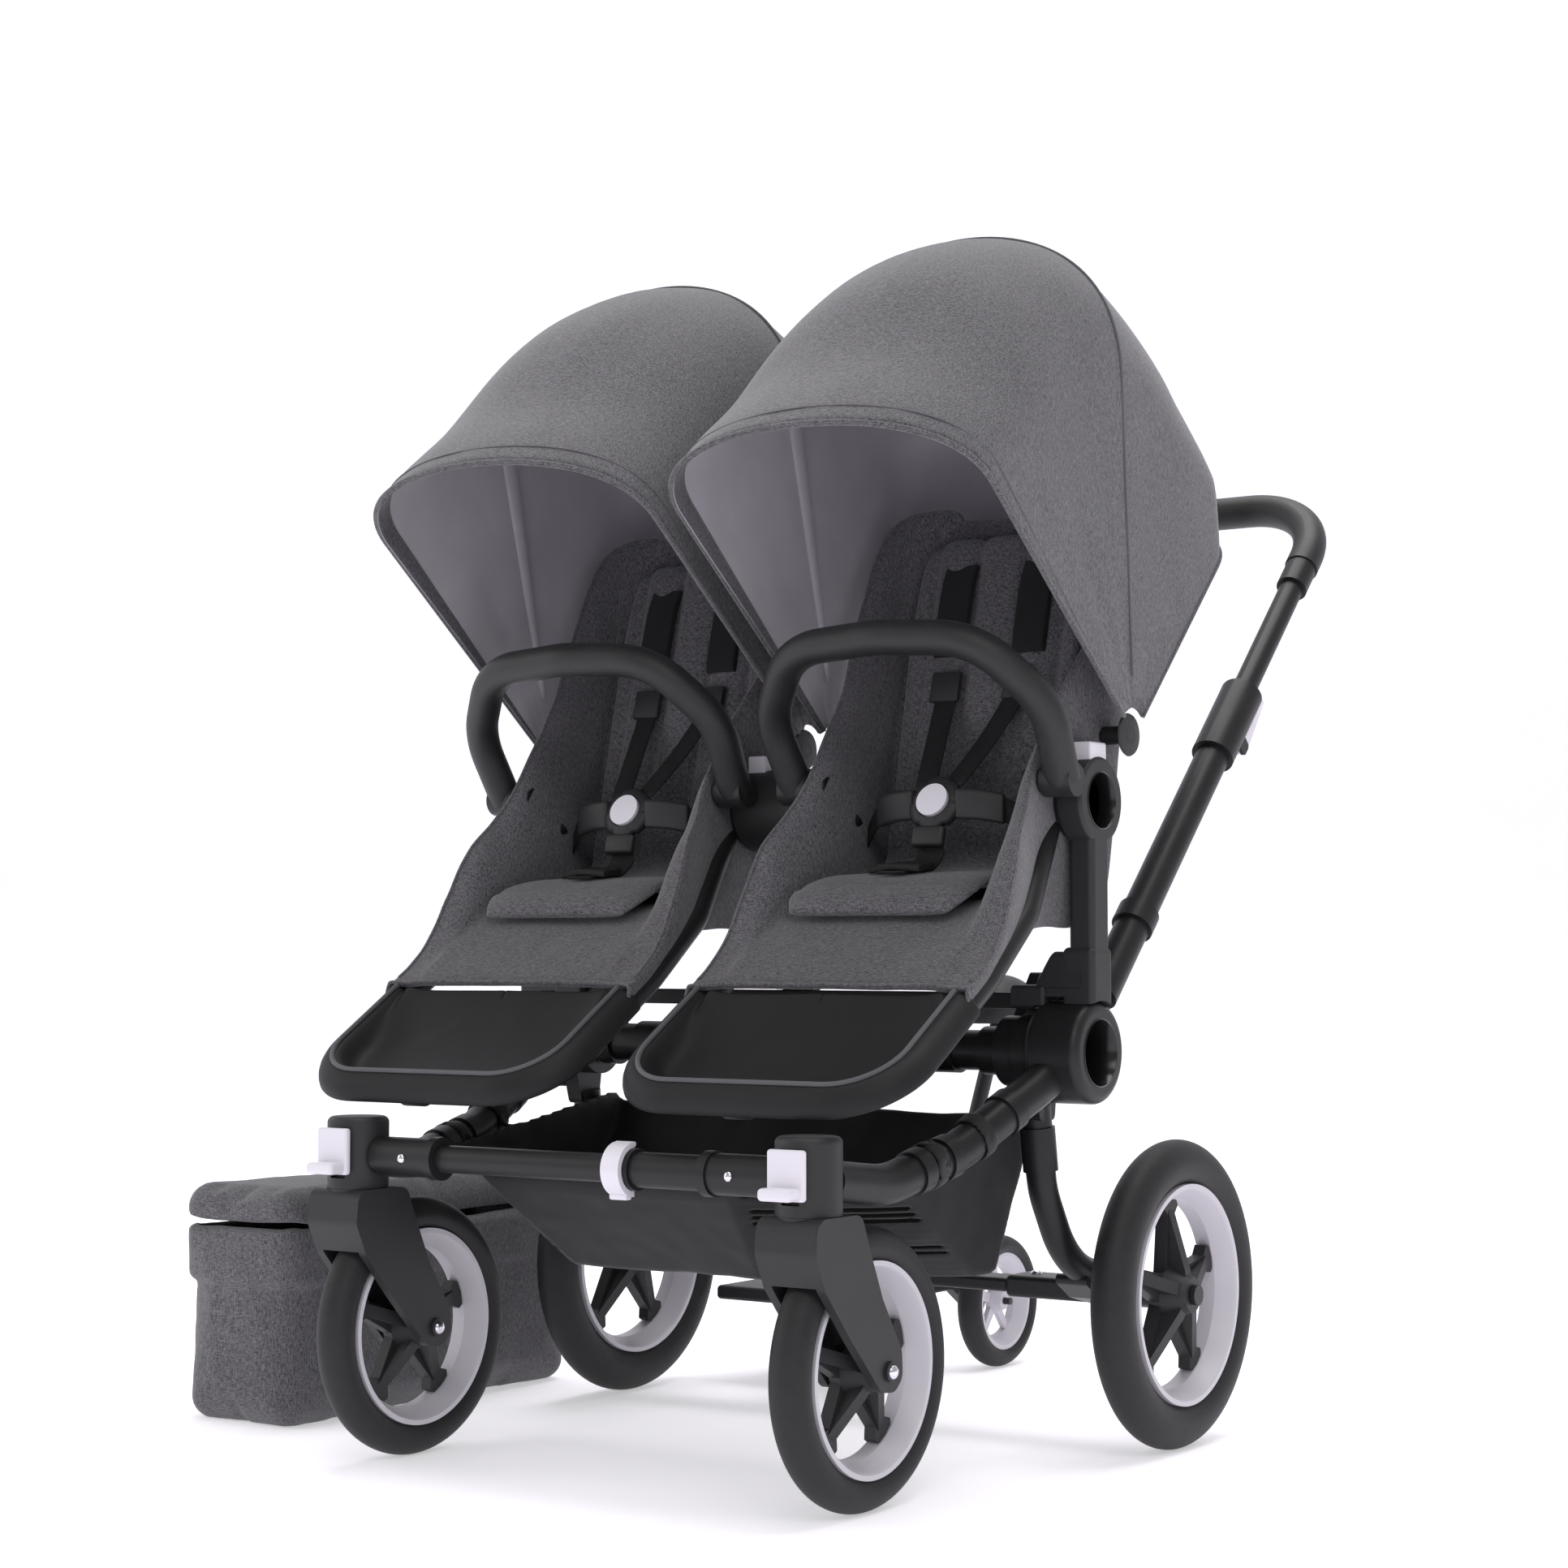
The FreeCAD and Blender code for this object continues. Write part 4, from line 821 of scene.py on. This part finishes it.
def dome(name, middle, way, radius, material, body):
    rings = [(1, 0), (1, 0.25), (0.92, 0.42), (0.7, 0.62), (0.4, 0.74)]
    profile = [(radius * out, radius * up) for out, up in rings] + [(0.02, 0.78 * radius)]
    return lathe(name, profile, middle, way, material, body, 28)


# small bright heads and glossy socket liners: place for the right side, radius
heads = {"forkX": 262, "forkReach": 34.3, "forkZ": 125, "forkRadius": 6.5,
         "rear": (362.5, 451, 152), "rearRadius": 4, "axle": (182, 455, 160.5), "axleRadius": 6,
         "elbow": (190, -97.2, 296), "elbowRadius": 4.5}
liners = {"hub": {"place": (350, 285, 395), "radius": 32.9, "depth": 34, "wall": 1.7, "lip": 1.0},
          "ring": {"place": (350, 290, 635), "radius": 27.9, "depth": 17, "wall": 1.5, "lip": 0.9}}


def linerProfile(radius, depth, wall, lip):
    return [(radius, -depth), (radius, 0.4), (radius - lip, 0.8), (radius - wall, 0.2),
            (radius - wall, -depth)]


for side, s in sides.items():
    title = side.capitalize()
    for label, way in (("Outer", 1), ("Inner", -1)):
        place = at(s * heads["forkX"] + way * heads["forkReach"], 0, heads["forkZ"])
        dome("forkBolt" + title + label, place, Vector((way, 0, 0)), heads["forkRadius"], finish["chrome"],
             "fork_" + side)
    for label, kind, way, body in (("rearBolt", "rear", (s, 0, 0), "rear_frame"),
                                   ("axleRivet", "axle", (0, 0, 1), "rear_frame"),
                                   ("elbowRivet", "elbow", (0, -1, 0), "chassis")):
        x, y, z = heads[kind]
        dome(label + title, at(s * x, y, z), Vector(way), heads[kind + "Radius"], finish["chrome"], body)
    for kind, values in liners.items():
        x, y, z = values["place"]
        profile = linerProfile(values["radius"], values["depth"], values["wall"], values["lip"])
        lathe(kind + "Liner" + title, profile, at(s * x, y, z), Vector((s, 0, 0)), finish["gloss"],
              "chassis")
print("details made")


stageSet = {"floor": 0.9, "world": 0.46, "glow": 0.42, "turn": 34.6, "bend": 3, "back": 7, "half": 20}
# each light: place, aim height, disk size, power
lights = {"keyLight": ((2.6, -3.2, 3.4), 0.5, 2.6, 44), "fillLight": ((-3.4, -2.6, 2.0), 0.5, 3.0, 30),
          "topLight": ((0.2, 0.6, 4.2), 0.4, 3.4, 120)}


def makeStage():
    points = []
    bend, back = stageSet["bend"], stageSet["back"]
    rows = [(-14, 0), (-4, 0), (0, 0), (4, 0), (back, 0)]
    for a in range(10, 91, 10):
        t = math.radians(a)
        rows.append((back + bend * math.sin(t), bend - bend * math.cos(t)))
    rows += [(10, 8), (10, 14)]
    turn = Matrix.Rotation(math.radians(stageSet["turn"]), 3, "Z")
    for y, z in rows:
        for i in range(9):
            points.append(turn @ Vector(((i - 4) * stageSet["half"] / 4, y, z)))
    mesh = bpy.data.meshes.new("studio")
    mesh.from_pydata([tuple(p) for p in points], [], gridFaces(len(rows), 9))
    mesh.polygons.foreach_set("use_smooth", [True] * len(mesh.polygons))
    r = Recipe("studioFloor", Roughness=0.9)
    pale = stageSet["floor"]
    r.feed("Base Color", r.blend(r.grain(r.place, 2, 2), grey(pale), grey(pale + 0.02)))
    r.shader.inputs["Emission Color"].default_value = (1, 1, 1, 1)
    r.shader.inputs["Emission Strength"].default_value = stageSet["glow"]
    mesh.materials.append(r.material)
    made = bpy.data.objects.new("studio", mesh)
    bpy.context.collection.objects.link(made)


def softLight(name, place, target, size, power):
    data = bpy.data.lights.new(name, "AREA")
    data.shape, data.size, data.energy = "DISK", size, power
    made = bpy.data.objects.new(name, data)
    made.location = place
    made.rotation_mode = "QUATERNION"
    made.rotation_quaternion = (Vector(target) - Vector(place)).to_track_quat("-Z", "Y")
    bpy.context.collection.objects.link(made)


makeStage()
for name, (place, aim, size, power) in lights.items():
    softLight(name, place, (0, 0, aim), size, power)
world = bpy.data.worlds.new("studioAir")
world.use_nodes = True
world.node_tree.nodes["Background"].inputs[0].default_value = (1, 1, 1, 1)
world.node_tree.nodes["Background"].inputs[1].default_value = stageSet["world"]
bpy.context.scene.world = world
bpy.context.scene.view_settings.view_transform = "Standard"

camera = {"x": 1671, "y": -2159, "z": 496, "turn": 34.6, "up": 3.2, "lens": 66.63}
eye = bpy.data.cameras.new("eye")
eye.lens, eye.sensor_width = camera["lens"], 36
eyeHolder = bpy.data.objects.new("eye", eye)
eyeHolder.location = at(camera["x"], camera["y"], camera["z"])
eyeHolder.rotation_euler = (math.radians(90 + camera["up"]), 0, math.radians(camera["turn"]))
bpy.context.collection.objects.link(eyeHolder)
bpy.context.scene.camera = eyeHolder
eye.clip_end = 60
print("stage set")
